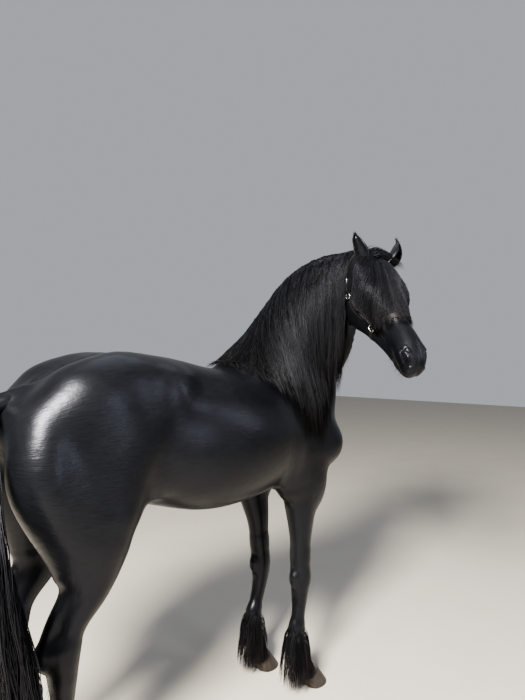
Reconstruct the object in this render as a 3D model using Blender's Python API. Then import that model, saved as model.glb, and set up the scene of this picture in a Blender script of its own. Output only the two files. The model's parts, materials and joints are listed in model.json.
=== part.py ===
"""A black friesian stallion, life size, standing with its head raised and turned to its right.

The horse faces +X, its left side is +Y, and +Z is up from the floor. The flesh is worked out as a
signed distance made of stations along each limb, then parted into head, neck, torso and legs.
Metres throughout.
"""
import math

import bmesh
import bpy
import numpy as np
from mathutils import Matrix

# driving dimensions
GAP = 0.0003           # the space that touching pieces keep
ELBOW_CUT = 0.93       # height at which the legs part from the torso
POLL = (0.807, -0.402, 2.075)   # top of the head between the ears
HEADING = -114.0       # how far round the head looks, degrees from straight ahead
PITCH = 40.0           # slope of the face from the vertical, degrees
HOCK = 0.64            # height of the hock
KNEE = 0.53            # height of the knee
FETLOCK = 0.225        # height of the fetlock joint
CORONET = 0.068        # height of the top of the hoof at its middle
CORONET_SLOPE = 0.30   # rise of that line towards the toe
FEET = {
    # hock or knee x and y, fetlock x, middle of the sole x and y
    "hind_right": (-0.655, -0.160, -0.655, -0.540, -0.155),
    "hind_left": (-0.700, 0.160, -0.700, -0.585, 0.155),
    "fore_right": (0.547, -0.145, 0.522, 0.632, -0.140),
    "fore_left": (0.545, 0.130, 0.490, 0.565, 0.125),
}
EYE_AT = (0.216, 0.0835, -0.036)    # in the head's own frame, for the left eye
EYE_RADIUS = 0.0205
STRAP_THICK = 0.004
SPARE = 0.012          # flesh left past a cut until the surface has been thinned

MANE_LOCKS = 14
FORELOCK_LOCKS = 7
FEATHER_LOCKS = 6      # locks in each of two rows round a fetlock
TAIL_LOCKS = 11
TAIL_ASIDE = -0.15     # how far the hanging tail swings to the horse's right

COAT = ((0.012, 0.012, 0.014), 0.40, 0.0)
HAIR = ((0.016, 0.016, 0.019), 0.50, 0.0)
HORN = ((0.060, 0.048, 0.038), 0.55, 0.0)
EYE_DARK = ((0.010, 0.007, 0.005), 0.08, 0.0)
LEATHER = ((0.014, 0.013, 0.013), 0.45, 0.0)
CHROME = ((0.75, 0.76, 0.78), 0.20, 1.0)

for stale in list(bpy.data.objects):
    bpy.data.objects.remove(stale)


# curves and frames

def catmull(rows, parts):
    """Rows of numbers joined by a smooth curve through all of them."""
    rows = np.array(rows, float)
    if len(rows) == 2:
        t = np.linspace(0, 1, parts + 1)[:, None]
        return rows[0] * (1 - t) + rows[1] * t
    ends = np.vstack([2 * rows[0] - rows[1], rows, 2 * rows[-1] - rows[-2]])
    out = []
    for i in range(1, len(ends) - 2):
        a, b, c, d = ends[i - 1 : i + 3]
        for t in np.arange(parts) / parts:
            bend = 2 * a - 5 * b + 4 * c - d
            twist = 3 * b - a - 3 * c + d
            out.append(0.5 * (2 * b + (c - a) * t + bend * t**2 + twist * t**3))
    out.append(rows[-1])
    return np.array(out)


def unit(v):
    return v / np.maximum(np.linalg.norm(v, axis=-1, keepdims=True), 1e-12)


def mix(a, b, t):
    return a + (b - a) * t


class Frame:
    """A local frame: its origin, and its three axes as rows."""

    def __init__(self, origin=(0, 0, 0), axes=None):
        self.origin = np.array(origin, float)
        self.axes = np.eye(3) if axes is None else np.array(axes, float)

    def local(self, p):
        return (np.asarray(p, float) - self.origin) @ self.axes.T

    def world(self, p):
        return np.asarray(p, float) @ self.axes + self.origin


def head_frame():
    """x runs down the face from the poll, y to the horse's left, z out of the forehead."""
    turn = math.radians(HEADING)
    slope = math.radians(PITCH)
    forward = np.array([math.cos(turn), math.sin(turn), 0])
    up = np.array([0, 0, 1.0])
    down_face = forward * math.sin(slope) - up * math.cos(slope)
    out_of_face = forward * math.cos(slope) + up * math.sin(slope)
    return Frame(POLL, [down_face, np.cross(out_of_face, down_face), out_of_face])


WORLD = Frame()
HEAD = head_frame()


# flesh as a signed distance

def smooth_min(a, b, blend):
    if blend <= 0:
        return np.minimum(a, b)
    h = np.maximum(blend - np.abs(a - b), 0) / blend
    return np.minimum(a, b) - h * h * blend * 0.25


class Shape:
    def __init__(self, distance, low, high, blend, carve, frame, both):
        self.distance, self.blend, self.carve = distance, blend, carve
        self.frame, self.both = frame, both
        reach = blend + 0.02
        self.low = np.array(low) - reach
        self.high = np.array(high) + reach


def follow(stations, parts, square=2.0):
    """A smooth line through stations: middles, sizes, powers, and three directions at each point."""
    rows = [list(s) + [0.0] * (7 - len(s)) for s in stations]
    rows = [r if len(r) == 8 else r + [square] for r in rows]
    rows = catmull(rows, parts)
    mid = rows[:, :3]
    size = np.maximum(rows[:, 3:6], 0.002)
    heading = np.radians(rows[:, 6])
    tangent = unit(np.gradient(mid, axis=0))
    side = np.stack([-np.sin(heading), np.cos(heading), 0 * heading], 1)
    side = unit(side - (side * tangent).sum(1, keepdims=True) * tangent)
    return mid, size, rows[:, 7], tangent, side, np.cross(tangent, side)


def tube(stations, blend=0.05, carve=False, frame=WORLD, both=False, parts=5, square=2.0):
    """A limb through stations of x, y, z, half width, depth on the plus side, depth on the minus side,
    heading in degrees and the power of the section's plus half. The plus side is forward on a leg,
    up on the trunk, the crest on the neck and the face on the head."""
    mid, size, power, tangent, side, plus = follow(stations, parts, square)
    start = mid[:-1]
    step = mid[1:] - mid[:-1]
    length2 = np.maximum((step**2).sum(1), 1e-12)
    cap = size.mean(1)

    def distance(p):
        best = np.full(len(p), 1e9)
        where = np.zeros(len(p))
        for i in range(len(start)):
            t = np.clip(((p - start[i]) @ step[i]) / length2[i], 0, 1)
            d = ((p - start[i] - t[:, None] * step[i]) ** 2).sum(1)
            nearer = d < best
            best[nearer] = d[nearer]
            where[nearer] = i + t[nearer]
        i = np.minimum(where.astype(int), len(start) - 1)
        t = where - i

        def at(values):
            f = t if values.ndim == 1 else t[:, None]
            return values[i] * (1 - f) + values[i + 1] * f

        q = p - at(mid)
        u = (q * at(side)).sum(1)
        v = (q * at(plus)).sum(1)
        w = (q * at(tangent)).sum(1)
        s = at(size)
        depth = np.where(v > 0, s[:, 1], s[:, 2])
        n = np.where(v > 0, at(power), square)
        flat = (np.abs(u) / s[:, 0]) ** n + (np.abs(v) / depth) ** n
        ratio = np.sqrt(flat ** (2 / n) + (w / at(cap)) ** 2)
        reach = np.sqrt(u * u + v * v + w * w)
        return np.where(ratio > 1e-4, reach * (1 - 1 / np.maximum(ratio, 1e-6)), -s.min(1))

    big = size.max()
    return Shape(distance, mid.min(0) - big, mid.max(0) + big, blend, carve, frame, both)


def ball(centre, radii, blend=0.04, carve=False, frame=WORLD, both=False, tilt=0.0):
    """An ellipsoid, tilted about its frame's y axis in degrees."""
    centre = np.array(centre, float)
    radii = np.array(radii, float)
    c, s = math.cos(math.radians(tilt)), math.sin(math.radians(tilt))
    spin = np.array([[c, 0, s], [0, 1, 0], [-s, 0, c]])

    def distance(p):
        q = (p - centre) @ spin
        ratio = np.sqrt(((q / radii) ** 2).sum(1))
        reach = np.sqrt((q * q).sum(1))
        return np.where(ratio > 1e-4, reach * (1 - 1 / np.maximum(ratio, 1e-6)), -radii.min())

    big = radii.max()
    return Shape(distance, centre - big, centre + big, blend, carve, frame, both)


def field(shapes, p):
    """Signed distance at each point, with the shapes laid on in order."""
    value = np.full(len(p), 1.0)
    local = {}
    for s in shapes:
        key = (id(s.frame), s.both)
        if key not in local:
            q = s.frame.local(p)
            local[key] = np.stack([q[:, 0], np.abs(q[:, 1]), q[:, 2]], 1) if s.both else q
        q = local[key]
        near = np.nonzero(((q > s.low) & (q < s.high)).all(1))[0]
        if not len(near):
            continue
        d = s.distance(q[near])
        if s.carve:
            value[near] = -smooth_min(-value[near], d, s.blend)
        else:
            value[near] = smooth_min(value[near], d, s.blend)
    return value


def slope(shapes, p, eps=0.002):
    """Direction in which the signed distance grows."""
    axes = np.eye(3) * eps
    return unit(np.stack([field(shapes, p + a) - field(shapes, p - a) for a in axes], 1))


def surface(shapes, low, high, step, coarse=4):
    """Points and four-sided faces of the zero surface inside a box, as surface nets make them."""
    low = np.array(low, float)
    high = np.array(high, float)
    blocks = np.ceil((high - low) / (step * coarse)).astype(int)
    count = blocks * coarse + 1
    wide = step * coarse
    ax = [low[k] + wide * np.arange(blocks[k] + 1) for k in range(3)]
    nodes = np.stack(np.meshgrid(*ax, indexing="ij"), -1)
    rough = field(shapes, nodes.reshape(-1, 3)).reshape(nodes.shape[:3])
    near = np.abs(rough) < wide * 1.9
    corners = [(i, j, k) for i in (0, 1) for j in (0, 1) for k in (0, 1)]
    active = np.zeros(blocks, bool)
    for i, j, k in corners:
        active |= near[i : i + blocks[0], j : j + blocks[1], k : k + blocks[2]]
    value = rough.repeat(coarse, 0).repeat(coarse, 1).repeat(coarse, 2)
    value = value[: count[0], : count[1], : count[2]].copy()
    wanted = np.zeros(count, bool)
    fine = active.repeat(coarse, 0).repeat(coarse, 1).repeat(coarse, 2)
    for i, j, k in corners:
        wanted[i : i + fine.shape[0], j : j + fine.shape[1], k : k + fine.shape[2]] |= fine
    index = np.argwhere(wanted)
    value[tuple(index.T)] = field(shapes, low + index * step)
    inside = value < 0
    c = np.array(count) - 1
    total = sum(
        inside[i : i + c[0], j : j + c[1], k : k + c[2]].astype(np.int8) for i, j, k in corners
    )
    cells = np.argwhere((total > 0) & (total < 8))
    number = np.full(c, -1, np.int64)
    number[tuple(cells.T)] = np.arange(len(cells))
    points = np.zeros((len(cells), 3))
    hits = np.zeros(len(cells))
    for a in corners:
        for axis in range(3):
            if a[axis]:
                continue
            b = list(a)
            b[axis] = 1
            va = value[tuple((cells + a).T)]
            vb = value[tuple((cells + b).T)]
            cross = (va < 0) != (vb < 0)
            t = va / np.where(cross, va - vb, 1)
            spot = np.array(a) + t[:, None] * (np.array(b) - np.array(a))
            points[cross] += spot[cross]
            hits += cross
    points = low + (cells + points / hits[:, None]) * step
    faces = []
    for axis in range(3):
        u, v = (axis + 1) % 3, (axis + 2) % 3
        shift, du, dv = np.eye(3, dtype=int)[[axis, u, v]]
        a = inside[tuple(slice(0, count[k] - shift[k]) for k in range(3))]
        b = inside[tuple(slice(shift[k], count[k]) for k in range(3))]
        edges = np.argwhere(a != b)
        ok = (edges[:, u] > 0) & (edges[:, v] > 0) & (edges[:, u] < c[u]) & (edges[:, v] < c[v])
        edges = edges[ok]
        around = (edges - du - dv, edges - dv, edges, edges - du)
        quad = np.stack([number[tuple(e.T)] for e in around], 1)
        out = inside[tuple(edges.T)]
        quad[~out] = quad[~out][:, ::-1]
        faces.append(quad)
    faces = np.vstack(faces)
    return points, faces[(faces >= 0).all(1)]


def settle(shapes, points, rounds=2):
    """Points moved on to the zero surface."""
    eps = 0.0008
    for _ in range(rounds):
        f = field(shapes, points)
        axes = np.eye(3) * eps
        g = np.stack(
            [(field(shapes, points + a) - field(shapes, points - a)) / (2 * eps) for a in axes], 1
        )
        move = f[:, None] * g / np.maximum((g * g).sum(1), 0.05)[:, None]
        far = np.linalg.norm(move, axis=1, keepdims=True)
        points = points - move * np.minimum(1, 0.006 / np.maximum(far, 1e-9))
    return points


# the horse's forms

def trunk():
    return [
        tube([
            (-0.69, 0, 1.395, .120, .080, .120, 0, 2.0),
            (-0.64, 0, 1.395, .190, .125, .190, 0, 2.0),
            (-0.56, 0, 1.395, .235, .180, .240, 0, 2.0),
            (-0.42, 0, 1.390, .268, .242, .300, 0, 2.0),
            (-0.22, 0, 1.370, .282, .250, .270, 0, 2.05),
            (0.00, 0, 1.310, .298, .262, .305, 0, 2.05),
            (0.18, 0, 1.280, .310, .285, .300, 0, 1.9),
            (0.34, 0, 1.270, .295, .365, .295, 0, 1.75),
            (0.46, 0, 1.280, .255, .365, .295, 0, 1.65),
            (0.58, 0, 1.290, .230, .300, .280, 0, 1.8),
            (0.70, 0, 1.240, .185, .210, .210, 0, 2.0),
        ], blend=.03, parts=4, square=2.2),
        # long muscles of loin and croup, either side of the spine
        tube([
            (-0.64, .085, 1.415, .085, .075, .12),
            (-0.44, .115, 1.520, .120, .110, .15),
            (-0.24, .120, 1.525, .110, .090, .12),
            (0.02, .090, 1.480, .075, .075, .10),
            (0.20, .070, 1.470, .050, .060, .09),
        ], blend=.06, both=True),
        # point of the hip, arch of the ribs, belly, brisket and root of the tail
        ball((-0.225, .215, 1.480), (.050, .040, .055), .10, both=True),
        ball((0.05, .15, 1.240), (.370, .166, .225), .12, both=True),
        ball((0.00, 0, 1.145), (.400, .200, .130), .10),
        ball((0.66, 0, 1.080), (.120, .120, .110), .08),
        tube([(-.64, 0, 1.490, .05, .045, .06), (-.725, 0, 1.475, .045, .040, .05)], blend=.06),
    ]


def hindquarter(foot):
    hx, hy, fetlock, sole, sy = FEET[foot]
    y = math.copysign(1, hy)
    hy, sy = abs(hy), abs(sy)
    crown = sole - 0.043

    def s(rows):
        return [(r[0], r[1] * y) + tuple(r[2:]) for r in rows]

    return [
        # buttock and hamstring
        tube(s([
            (-.57, .120, 1.48, .100, .11, .11),
            (-.66, .130, 1.375, .115, .14, .115),
            (-.685, .145, 1.23, .125, .15, .12),
            (mix(-.62, hx, .12), .158, 1.07, .108, .12, .115),
            (mix(-.58, hx, .30), .165, 0.93, .065, .075, .075),
        ]), blend=.07),
        # thigh, stifle and the fold of the flank
        tube(s([
            (-.460, .165, 1.44, .115, .20, .20),
            (-.440, .180, 1.28, .115, .15, .22),
            (-.465, .180, 1.13, .115, .095, .19),
            (-.505, .178, 1.02, .100, .080, .14),
        ]), blend=.07),
        ball((-.42, .195 * y, 1.12), (.055, .055, .08), .06),
        tube(s([
            (-.32, .190, 1.16, .030, .05, .05),
            (-.24, .205, 1.22, .025, .04, .04),
            (-.14, .220, 1.24, .030, .04, .04),
        ]), blend=.09),
        # gaskin
        tube(s([
            (-.485, .182, 1.07, .105, .085, .12),
            (mix(-.47, hx, .20), .178, 0.96, .092, .082, .115),
            (mix(-.44, hx, .50), .173, 0.85, .068, .066, .085),
            (mix(-.45, hx, .78), .166, 0.75, .050, .050, .055),
            (hx + .010, hy, HOCK + .01, .044, .048, .045),
        ]), blend=.04),
        # tendon to the point of the hock, and that point
        tube(s([
            (mix(-.45, hx, .50), .172, 0.94, .030, .030, .030),
            (mix(-.50, hx - .05, .80), .165, 0.80, .019, .020, .020),
            (hx - .055, hy, HOCK + .045, .022, .026, .026),
        ]), blend=.035),
        ball((hx - .05, hy * y, HOCK + .02), (.032, .026, .042), .03),
        # hock and cannon
        tube(s([
            (hx + .012, hy, HOCK + .03, .050, .052, .058),
            (hx + .010, hy, HOCK - .05, .050, .050, .052),
            (hx + .012, hy - .002, HOCK - .13, .038, .038, .043),
            (mix(hx + .01, fetlock, .5), hy - .003, HOCK - .24, .031, .032, .039),
            (fetlock + .002, sy, FETLOCK + .085, .031, .032, .041),
        ]), blend=.03),
    ] + pastern(fetlock, crown, sy * y)


def forequarter(foot):
    kx, ky, fetlock, sole, sy = FEET[foot]
    y = math.copysign(1, ky)
    ky, sy = abs(ky), abs(sy)
    crown = sole - 0.043

    def s(rows):
        return [(r[0], r[1] * y) + tuple(r[2:]) for r in rows]

    return [
        # shoulder blade and point of the shoulder
        tube(s([
            (.36, .100, 1.55, .055, .10, .11),
            (.47, .145, 1.42, .075, .12, .13),
            (.61, .175, 1.28, .085, .11, .13),
            (.69, .180, 1.18, .080, .09, .11),
        ]), blend=.07),
        ball((.700, .175 * y, 1.180), (.085, .078, .100), .07),
        # triceps
        tube(s([
            (.36, .190, 1.340, .060, .09, .09),
            (.40, .200, 1.210, .075, .12, .11),
            (.43, .192, 1.080, .067, .10, .095),
            (.445, .180, 1.005, .052, .07, .07),
        ]), blend=.05),
        # breast muscle and the upper forearm
        ball((.715, .085 * y, 1.120), (.095, .095, .150), .06),
        ball((.612, .172 * y, 1.000), (.075, .062, .130), .05),
        tube(s([
            (.56, .170, 1.14, .090, .14, .15),
            (.54, .168, 1.01, .084, .128, .125),
            (mix(.53, kx, .4), .162, 0.89, .070, .090, .086),
            (mix(.52, kx, .8), ky + .01, 0.77, .055, .063, .061),
            (kx - .002, ky + .003, KNEE + .12, .044, .048, .047),
        ]), blend=.05),
        # knee and cannon
        tube(s([
            (kx - .002, ky + .003, KNEE + .13, .043, .046, .046),
            (kx, ky, KNEE + .05, .052, .052, .050),
            (kx, ky, KNEE, .053, .052, .050),
            (kx - .003, ky - .002, KNEE - .06, .043, .040, .045),
            (mix(kx, fetlock, .4), ky - .003, KNEE - .14, .033, .032, .040),
            (fetlock + .002, sy, FETLOCK + .085, .031, .032, .042),
        ]), blend=.03),
        ball((kx - .045, ky * y, KNEE + .015), (.024, .022, .034), .03),
    ] + pastern(fetlock, crown, sy * y)


def pastern(fetlock, crown, y):
    """Fetlock joint, the ergot's swelling behind it, and the pastern down past the coronet."""
    return [
        tube([
            (fetlock + .002, y, FETLOCK + .090, .031, .032, .042),
            (fetlock, y, FETLOCK, .043, .042, .052),
            (mix(fetlock, crown, .45), y, mix(FETLOCK, CORONET, .45), .038, .037, .041),
            (mix(fetlock, crown, .80), y, mix(FETLOCK, CORONET, .80), .045, .045, .045),
            (crown, y, CORONET, .053, .052, .052),
            (crown + .015, y, CORONET - .03, .057, .056, .056),
        ], blend=.03),
        ball((fetlock - .035, y, FETLOCK - .02), (.026, .030, .030), .03),
    ]


NECK_LINE = [
    (.400, 0.000, 1.41, .165, .235, .260, 0),
    (.540, -0.010, 1.54, .155, .240, .310, -6),
    (.650, -0.050, 1.68, .132, .236, .295, -22),
    (.732, -0.127, 1.82, .100, .234, .240, -44),
    (.786, -0.229, 1.92, .076, .212, .165, -68),
    (.797, -0.321, 1.985, .070, .166, .120, -92),
    (.782, -0.375, 2.015, .066, .110, .105, -106),
]


def neck():
    return [
        tube(NECK_LINE, blend=.07, parts=4),
        # windpipe and the muscle in front of the shoulder
        ball((.715, -.105, 1.43), (.105, .120, .170), .08),
    ]


def skull():
    f = HEAD
    return [
        tube([
            (0.00, 0, -.070, .068, .066, .085, 0, 2.0),
            (0.07, 0, -.080, .080, .095, .085, 0, 2.1),
            (0.14, 0, -.085, .088, .110, .085, 0, 2.3),
            (0.21, 0, -.085, .089, .110, .085, 0, 2.5),
            (0.29, 0, -.080, .077, .096, .080, 0, 2.4),
            (0.375, 0, -.078, .060, .083, .066, 0, 2.3),
            (0.46, 0, -.080, .050, .073, .056, 0, 2.3),
            (0.535, 0, -.084, .047, .066, .050, 0, 2.1),
            (0.580, 0, -.088, .042, .056, .045, 0, 2.0),
        ], blend=.03, frame=f, parts=3, square=2.1),
        # lower jaw and its round muscle
        tube([
            (0.075, .062, -.130, .026, .060, .060),
            (0.130, .066, -.165, .030, .070, .082),
            (0.200, .062, -.170, .030, .070, .086),
            (0.285, .048, -.165, .025, .060, .060),
            (0.370, .034, -.158, .022, .050, .038),
            (0.455, .024, -.148, .020, .035, .026),
            (0.540, .016, -.140, .022, .030, .022),
        ], blend=.035, frame=f, both=True, parts=3),
        ball((.165, .058, -.150), (.110, .038, .100), .04, frame=f, both=True),
        # brow over the eye, the eye's swelling and the ridge of the cheek
        ball((.203, .078, -.012), (.052, .027, .030), .035, frame=f, both=True),
        ball((.222, .080, -.044), (.045, .025, .032), .03, frame=f, both=True),
        tube([
            (.24, .086, -.068, .014, .012, .012),
            (.31, .072, -.078, .011, .011, .011),
            (.38, .056, -.086, .008, .008, .008),
        ], blend=.03, frame=f, both=True),
        # hollow of the temple behind the brow
        ball((.115, .070, .018), (.040, .018, .020), .04, carve=True, frame=f, both=True),
    ]


def muzzle():
    f = HEAD
    return [
        # nose, wings of the nostrils, upper lip, lower lip and chin
        ball((.560, 0, -.078), (.072, .054, .060), .035, frame=f),
        ball((.553, .040, -.062), (.044, .023, .036), .025, frame=f, both=True),
        ball((.603, 0, -.098), (.034, .043, .036), .03, frame=f),
        ball((.580, 0, -.136), (.044, .035, .022), .014, frame=f),
        ball((.553, 0, -.146), (.032, .028, .020), .02, frame=f),
    ]


QUARTERS = {
    "hind_right": hindquarter("hind_right"),
    "hind_left": hindquarter("hind_left"),
    "fore_right": forequarter("fore_right"),
    "fore_left": forequarter("fore_left"),
}
TORSO = trunk() + sum(QUARTERS.values(), [])
NECK = neck()
HEAD_FLESH = skull() + muzzle()
FLESH = TORSO + NECK + HEAD_FLESH


# meshes and solids

def make(name, points, faces, finish):
    mesh = bpy.data.meshes.new(name)
    mesh.from_pydata([tuple(p) for p in points], [], [tuple(int(i) for i in f) for f in faces])
    mesh.update()
    ob = bpy.data.objects.new(name, mesh)
    bpy.context.scene.collection.objects.link(ob)
    colour, rough, metal = finish
    paint = bpy.data.materials.new(name)
    paint.use_nodes = True
    shader = paint.node_tree.nodes["Principled BSDF"]
    shader.inputs["Base Color"].default_value = (*colour, 1)
    shader.inputs["Roughness"].default_value = rough
    shader.inputs["Metallic"].default_value = metal
    mesh.materials.append(paint)
    return ob


def bake(ob):
    """The object's mesh with its modifiers applied."""
    graph = bpy.context.evaluated_depsgraph_get()
    graph.update()
    mesh = bpy.data.meshes.new_from_object(ob.evaluated_get(graph))
    ob.modifiers.clear()
    ob.data = mesh
    return ob


def thin(ob, triangles):
    """The same surface with fewer triangles."""
    drop = ob.modifiers.new("Thin", "DECIMATE")
    drop.ratio = min(1, triangles / (2 * len(ob.data.polygons)))
    drop.use_collapse_triangulate = True
    return bake(ob)


def slice_off(ob, point, normal):
    """Takes away what lies beyond a plane and closes the cut."""
    bm = bmesh.new()
    bm.from_mesh(ob.data)
    everything = bm.verts[:] + bm.edges[:] + bm.faces[:]
    bmesh.ops.bisect_plane(
        bm, geom=everything, dist=1e-6, plane_co=point, plane_no=normal, clear_outer=True
    )
    rim = [e for e in bm.edges if e.is_boundary]
    bmesh.ops.holes_fill(bm, edges=rim, sides=0)
    bmesh.ops.recalc_face_normals(bm, faces=bm.faces[:])
    bm.to_mesh(ob.data)
    bm.free()
    return ob


def largest(ob):
    """Keeps only the largest closed surface."""
    bm = bmesh.new()
    bm.from_mesh(ob.data)
    left = set(bm.verts)
    groups = []
    while left:
        group = {left.pop()}
        front = list(group)
        while front:
            v = front.pop()
            for e in v.link_edges:
                w = e.other_vert(v)
                if w in left:
                    left.discard(w)
                    group.add(w)
                    front.append(w)
        groups.append(group)
    groups.sort(key=len)
    lost = [v for g in groups[:-1] for v in g]
    bmesh.ops.delete(bm, geom=lost, context="VERTS")
    bmesh.ops.triangulate(bm, faces=bm.faces[:])
    bm.to_mesh(ob.data)
    bm.free()
    return ob


def combine(ob, pieces, operation="UNION", solver="MANIFOLD"):
    """One Boolean with a collection of closed meshes, which is then removed."""
    box = bpy.data.collections.new("pieces")
    bpy.context.scene.collection.children.link(box)
    for piece in pieces:
        bpy.context.scene.collection.objects.unlink(piece)
        box.objects.link(piece)
    join = ob.modifiers.new("Join", "BOOLEAN")
    join.operand_type = "COLLECTION"
    join.collection = box
    join.operation = operation
    join.solver = solver
    bake(ob)
    for piece in pieces:
        bpy.data.objects.remove(piece)
    bpy.data.collections.remove(box)
    first = ob.data.materials[0]
    ob.data.materials.clear()
    ob.data.materials.append(first)
    return largest(ob)


def flesh(name, shapes, low, high, step, triangles, cuts, room=None):
    """A body part: its box of the flesh, cut off roughly there and out of the room of another part,
    thinned, then cut off at each plane."""
    points, faces = surface(shapes, low, high, step)
    ob = make(name, settle(shapes, points), faces, COAT)
    for point, normal in cuts:
        slice_off(ob, np.array(point) + np.array(normal) * SPARE, normal)
    if room:
        combine(ob, [room(SPARE)], "DIFFERENCE")
    thin(largest(ob), triangles)
    for point, normal in cuts:
        slice_off(ob, point, normal)
    return largest(ob)


def closed(ob):
    """The same solid in triangles turned outward."""
    bm = bmesh.new()
    bm.from_mesh(ob.data)
    bmesh.ops.triangulate(bm, faces=bm.faces[:])
    bmesh.ops.recalc_face_normals(bm, faces=bm.faces[:])
    bm.to_mesh(ob.data)
    bm.free()
    return ob


def loft(name, rings, finish, tip=None):
    """A closed solid through rings of points, flat at its ends or drawn to a tip."""
    n = len(rings[0])
    points = np.vstack(rings)
    faces = []
    for r in range(len(rings) - 1):
        for i in range(n):
            j = (i + 1) % n
            a, b = r * n, (r + 1) * n
            faces.append((a + i, a + j, b + j, b + i))
    faces.append(tuple(range(n - 1, -1, -1)))
    if tip is None:
        last = (len(rings) - 1) * n
        faces.append(tuple(range(last, last + n)))
    else:
        points = np.vstack([points, tip])
        last = (len(rings) - 1) * n
        for i in range(n):
            faces.append((last + i, last + (i + 1) % n, len(points) - 1))
    return closed(make(name, points, faces, finish))


# locks of hair

def lay(roots, first, lengths, steps, clear, shapes, fall, rng, drift=0.035, floor=0.006):
    """Paths of locks. Each leaves its root the first way, then falls, and is kept clear of the flesh.
    roots, first and fall hold a row for each lock, lengths and clear a number for each."""
    way = unit(first)
    drift = rng.normal(0, drift, roots.shape)
    stride = (lengths / (steps - 1))[:, None]
    path = [roots]
    for j in range(1, steps):
        t = j / (steps - 1)
        way = unit(way * (1 - 0.6 * t) + fall * (0.35 + 0.6 * t) + drift)
        p = path[-1] + way * stride
        want = clear * min(1.0, 0.4 + 1.5 * t)
        for _ in range(3):
            out = slope(shapes, p)
            p = p + out * np.maximum(want - field(shapes, p), 0)[:, None]
            way = unit(p - path[-1])
            p = path[-1] + way * stride
        p[:, 2] = np.maximum(p[:, 2], floor)
        path.append(p)
    path = np.stack(path, 1)
    for _ in range(3):
        between = (path[:, :-1] + path[:, 1:]) / 2
        flat = between.reshape(-1, 3)
        short = np.maximum(clear.repeat(steps - 1) * 0.8 - field(shapes, flat), 0)
        push = (slope(shapes, flat) * short[:, None]).reshape(between.shape)
        push[:, 0] = 0
        path[:, 1:-1] += (push[:, :-1] + push[:, 1:]) * 0.7
        path[:, -1] += push[:, -1]
        path[:, :, 2] = np.maximum(path[:, :, 2], floor)
    return path


def lock_solid(path, facing, width, thick, profile, shapes=None):
    """A flat tapering lock with four-sided rings, its broad side square to facing. Over shapes its
    edges are bent to the height that its middle keeps."""
    along = unit(np.gradient(path, axis=0))
    side = unit(np.cross(along, facing))
    out = np.cross(side, along)
    half = side * (np.append(profile, 0) * width / 2)[:, None]
    edges = np.stack([path + half, path - half], 1)
    if shapes:
        level = field(shapes, path)
        pull = np.clip(1 - (level - .035) / .03, 0, 1).repeat(2)
        flat = edges.reshape(-1, 3)
        for _ in range(3):
            lift = np.clip(level.repeat(2) - field(shapes, flat), -.012, .012) * pull
            flat = flat + slope(shapes, flat) * lift[:, None]
        edges = flat.reshape(-1, 2, 3)
    rings = []
    for j in range(len(path) - 1):
        h = out[j] * thick * profile[j] / 2
        rings.append(np.stack([edges[j, 0], path[j] + h, edges[j, 1], path[j] - h]))
    return loft("lock", rings, HAIR, tip=path[-1])


def locks(paths, widths, thick, profile, shapes):
    facing = slope(shapes, paths.reshape(-1, 3)).reshape(paths.shape)
    return [lock_solid(p, f, w, thick, profile, shapes) for p, f, w in zip(paths, facing, widths)]


def beside(paths):
    """How far each point of each path is from the paths next to it."""
    gaps = np.linalg.norm(np.diff(paths, axis=0), axis=2)
    return (np.vstack([gaps[:1], gaps]) + np.vstack([gaps, gaps[-1:]])) / 2


def to_skin(shapes, start, way, reach=0.15):
    """Where a ray from inside the flesh comes out, for each row of start and way."""
    near = np.zeros(len(start))
    far = np.full(len(start), reach)
    for _ in range(12):
        middle = (near + far) / 2
        out = field(shapes, start + way * middle[:, None]) > 0
        far = np.where(out, middle, far)
        near = np.where(out, near, middle)
    return start + way * near[:, None]


# the nodes

NECK_CUT = (np.array([.34, 0, 1.655]), unit(np.array([.41, 0, .47])))
POLL_LEAN = unit(np.array([1, 0, .321]))
POLL_CUT = (HEAD.world([-.05, 0, 0]), POLL_LEAN @ HEAD.axes)
JAW_LEVEL = -.300
JAW_CUT = (HEAD.world([0, 0, JAW_LEVEL]), HEAD.axes[2])
CHEEK_LEVEL = -.140
CHEEK_CUT = (HEAD.world([0, CHEEK_LEVEL, 0]), HEAD.axes[1])
DOWN = np.array([0, 0, -1.0])


def above(cut):
    """Keeps what lies past a cut the way its normal points, less half the gap."""
    point, normal = cut
    return (point + normal * GAP / 2, -normal)


def below(cut):
    """Keeps what lies before a cut, less half the gap."""
    point, normal = cut
    return (point - normal * GAP / 2, normal)


def head_room(margin):
    """The room that the head takes from the neck: a prism behind the poll, under the jaw and
    beside the right cheek, which the neck bends up to."""
    level = JAW_LEVEL + margin
    start = -.05 * POLL_LEAN[0] + margin
    rear = [(start - POLL_LEAN[2] * z) / POLL_LEAN[0] for z in (level, .30)]
    outline = [(rear[0], level), (.95, level), (.95, .30), (rear[1], .30)]
    rings = [HEAD.world([(x, y, z) for x, z in outline]) for y in (CHEEK_LEVEL + margin, .45)]
    return loft("head_room", rings, COAT)


def dock(grow=0.0):
    """The fleshy root of the tail, set into a socket under the croup."""
    line = [(-.690, 0, 1.485, .040, .036, .040), (-.760, 0, 1.478, .042, .036, .042),
            (-.825, 0, 1.440, .036, .032, .036), (-.868, 0, 1.350, .032, .028, .030),
            (-.880, 0, 1.240, .026, .022, .024)]
    mid, size, _, tangent, side, plus = follow(line, 2)
    angles = np.arange(10) * 2 * math.pi / 10
    rings = []
    for m, z, s, p in zip(mid, size, side, plus):
        across = np.outer(np.cos(angles), s) * (z[0] + grow)
        upright = np.outer(np.sin(angles), p) * (z[1] + grow)
        rings.append(m + across + upright)
    if grow:
        rings[0] = rings[0] - tangent[0] * grow
        rings = rings[:6]
    return loft("tail", rings, HAIR)


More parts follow.
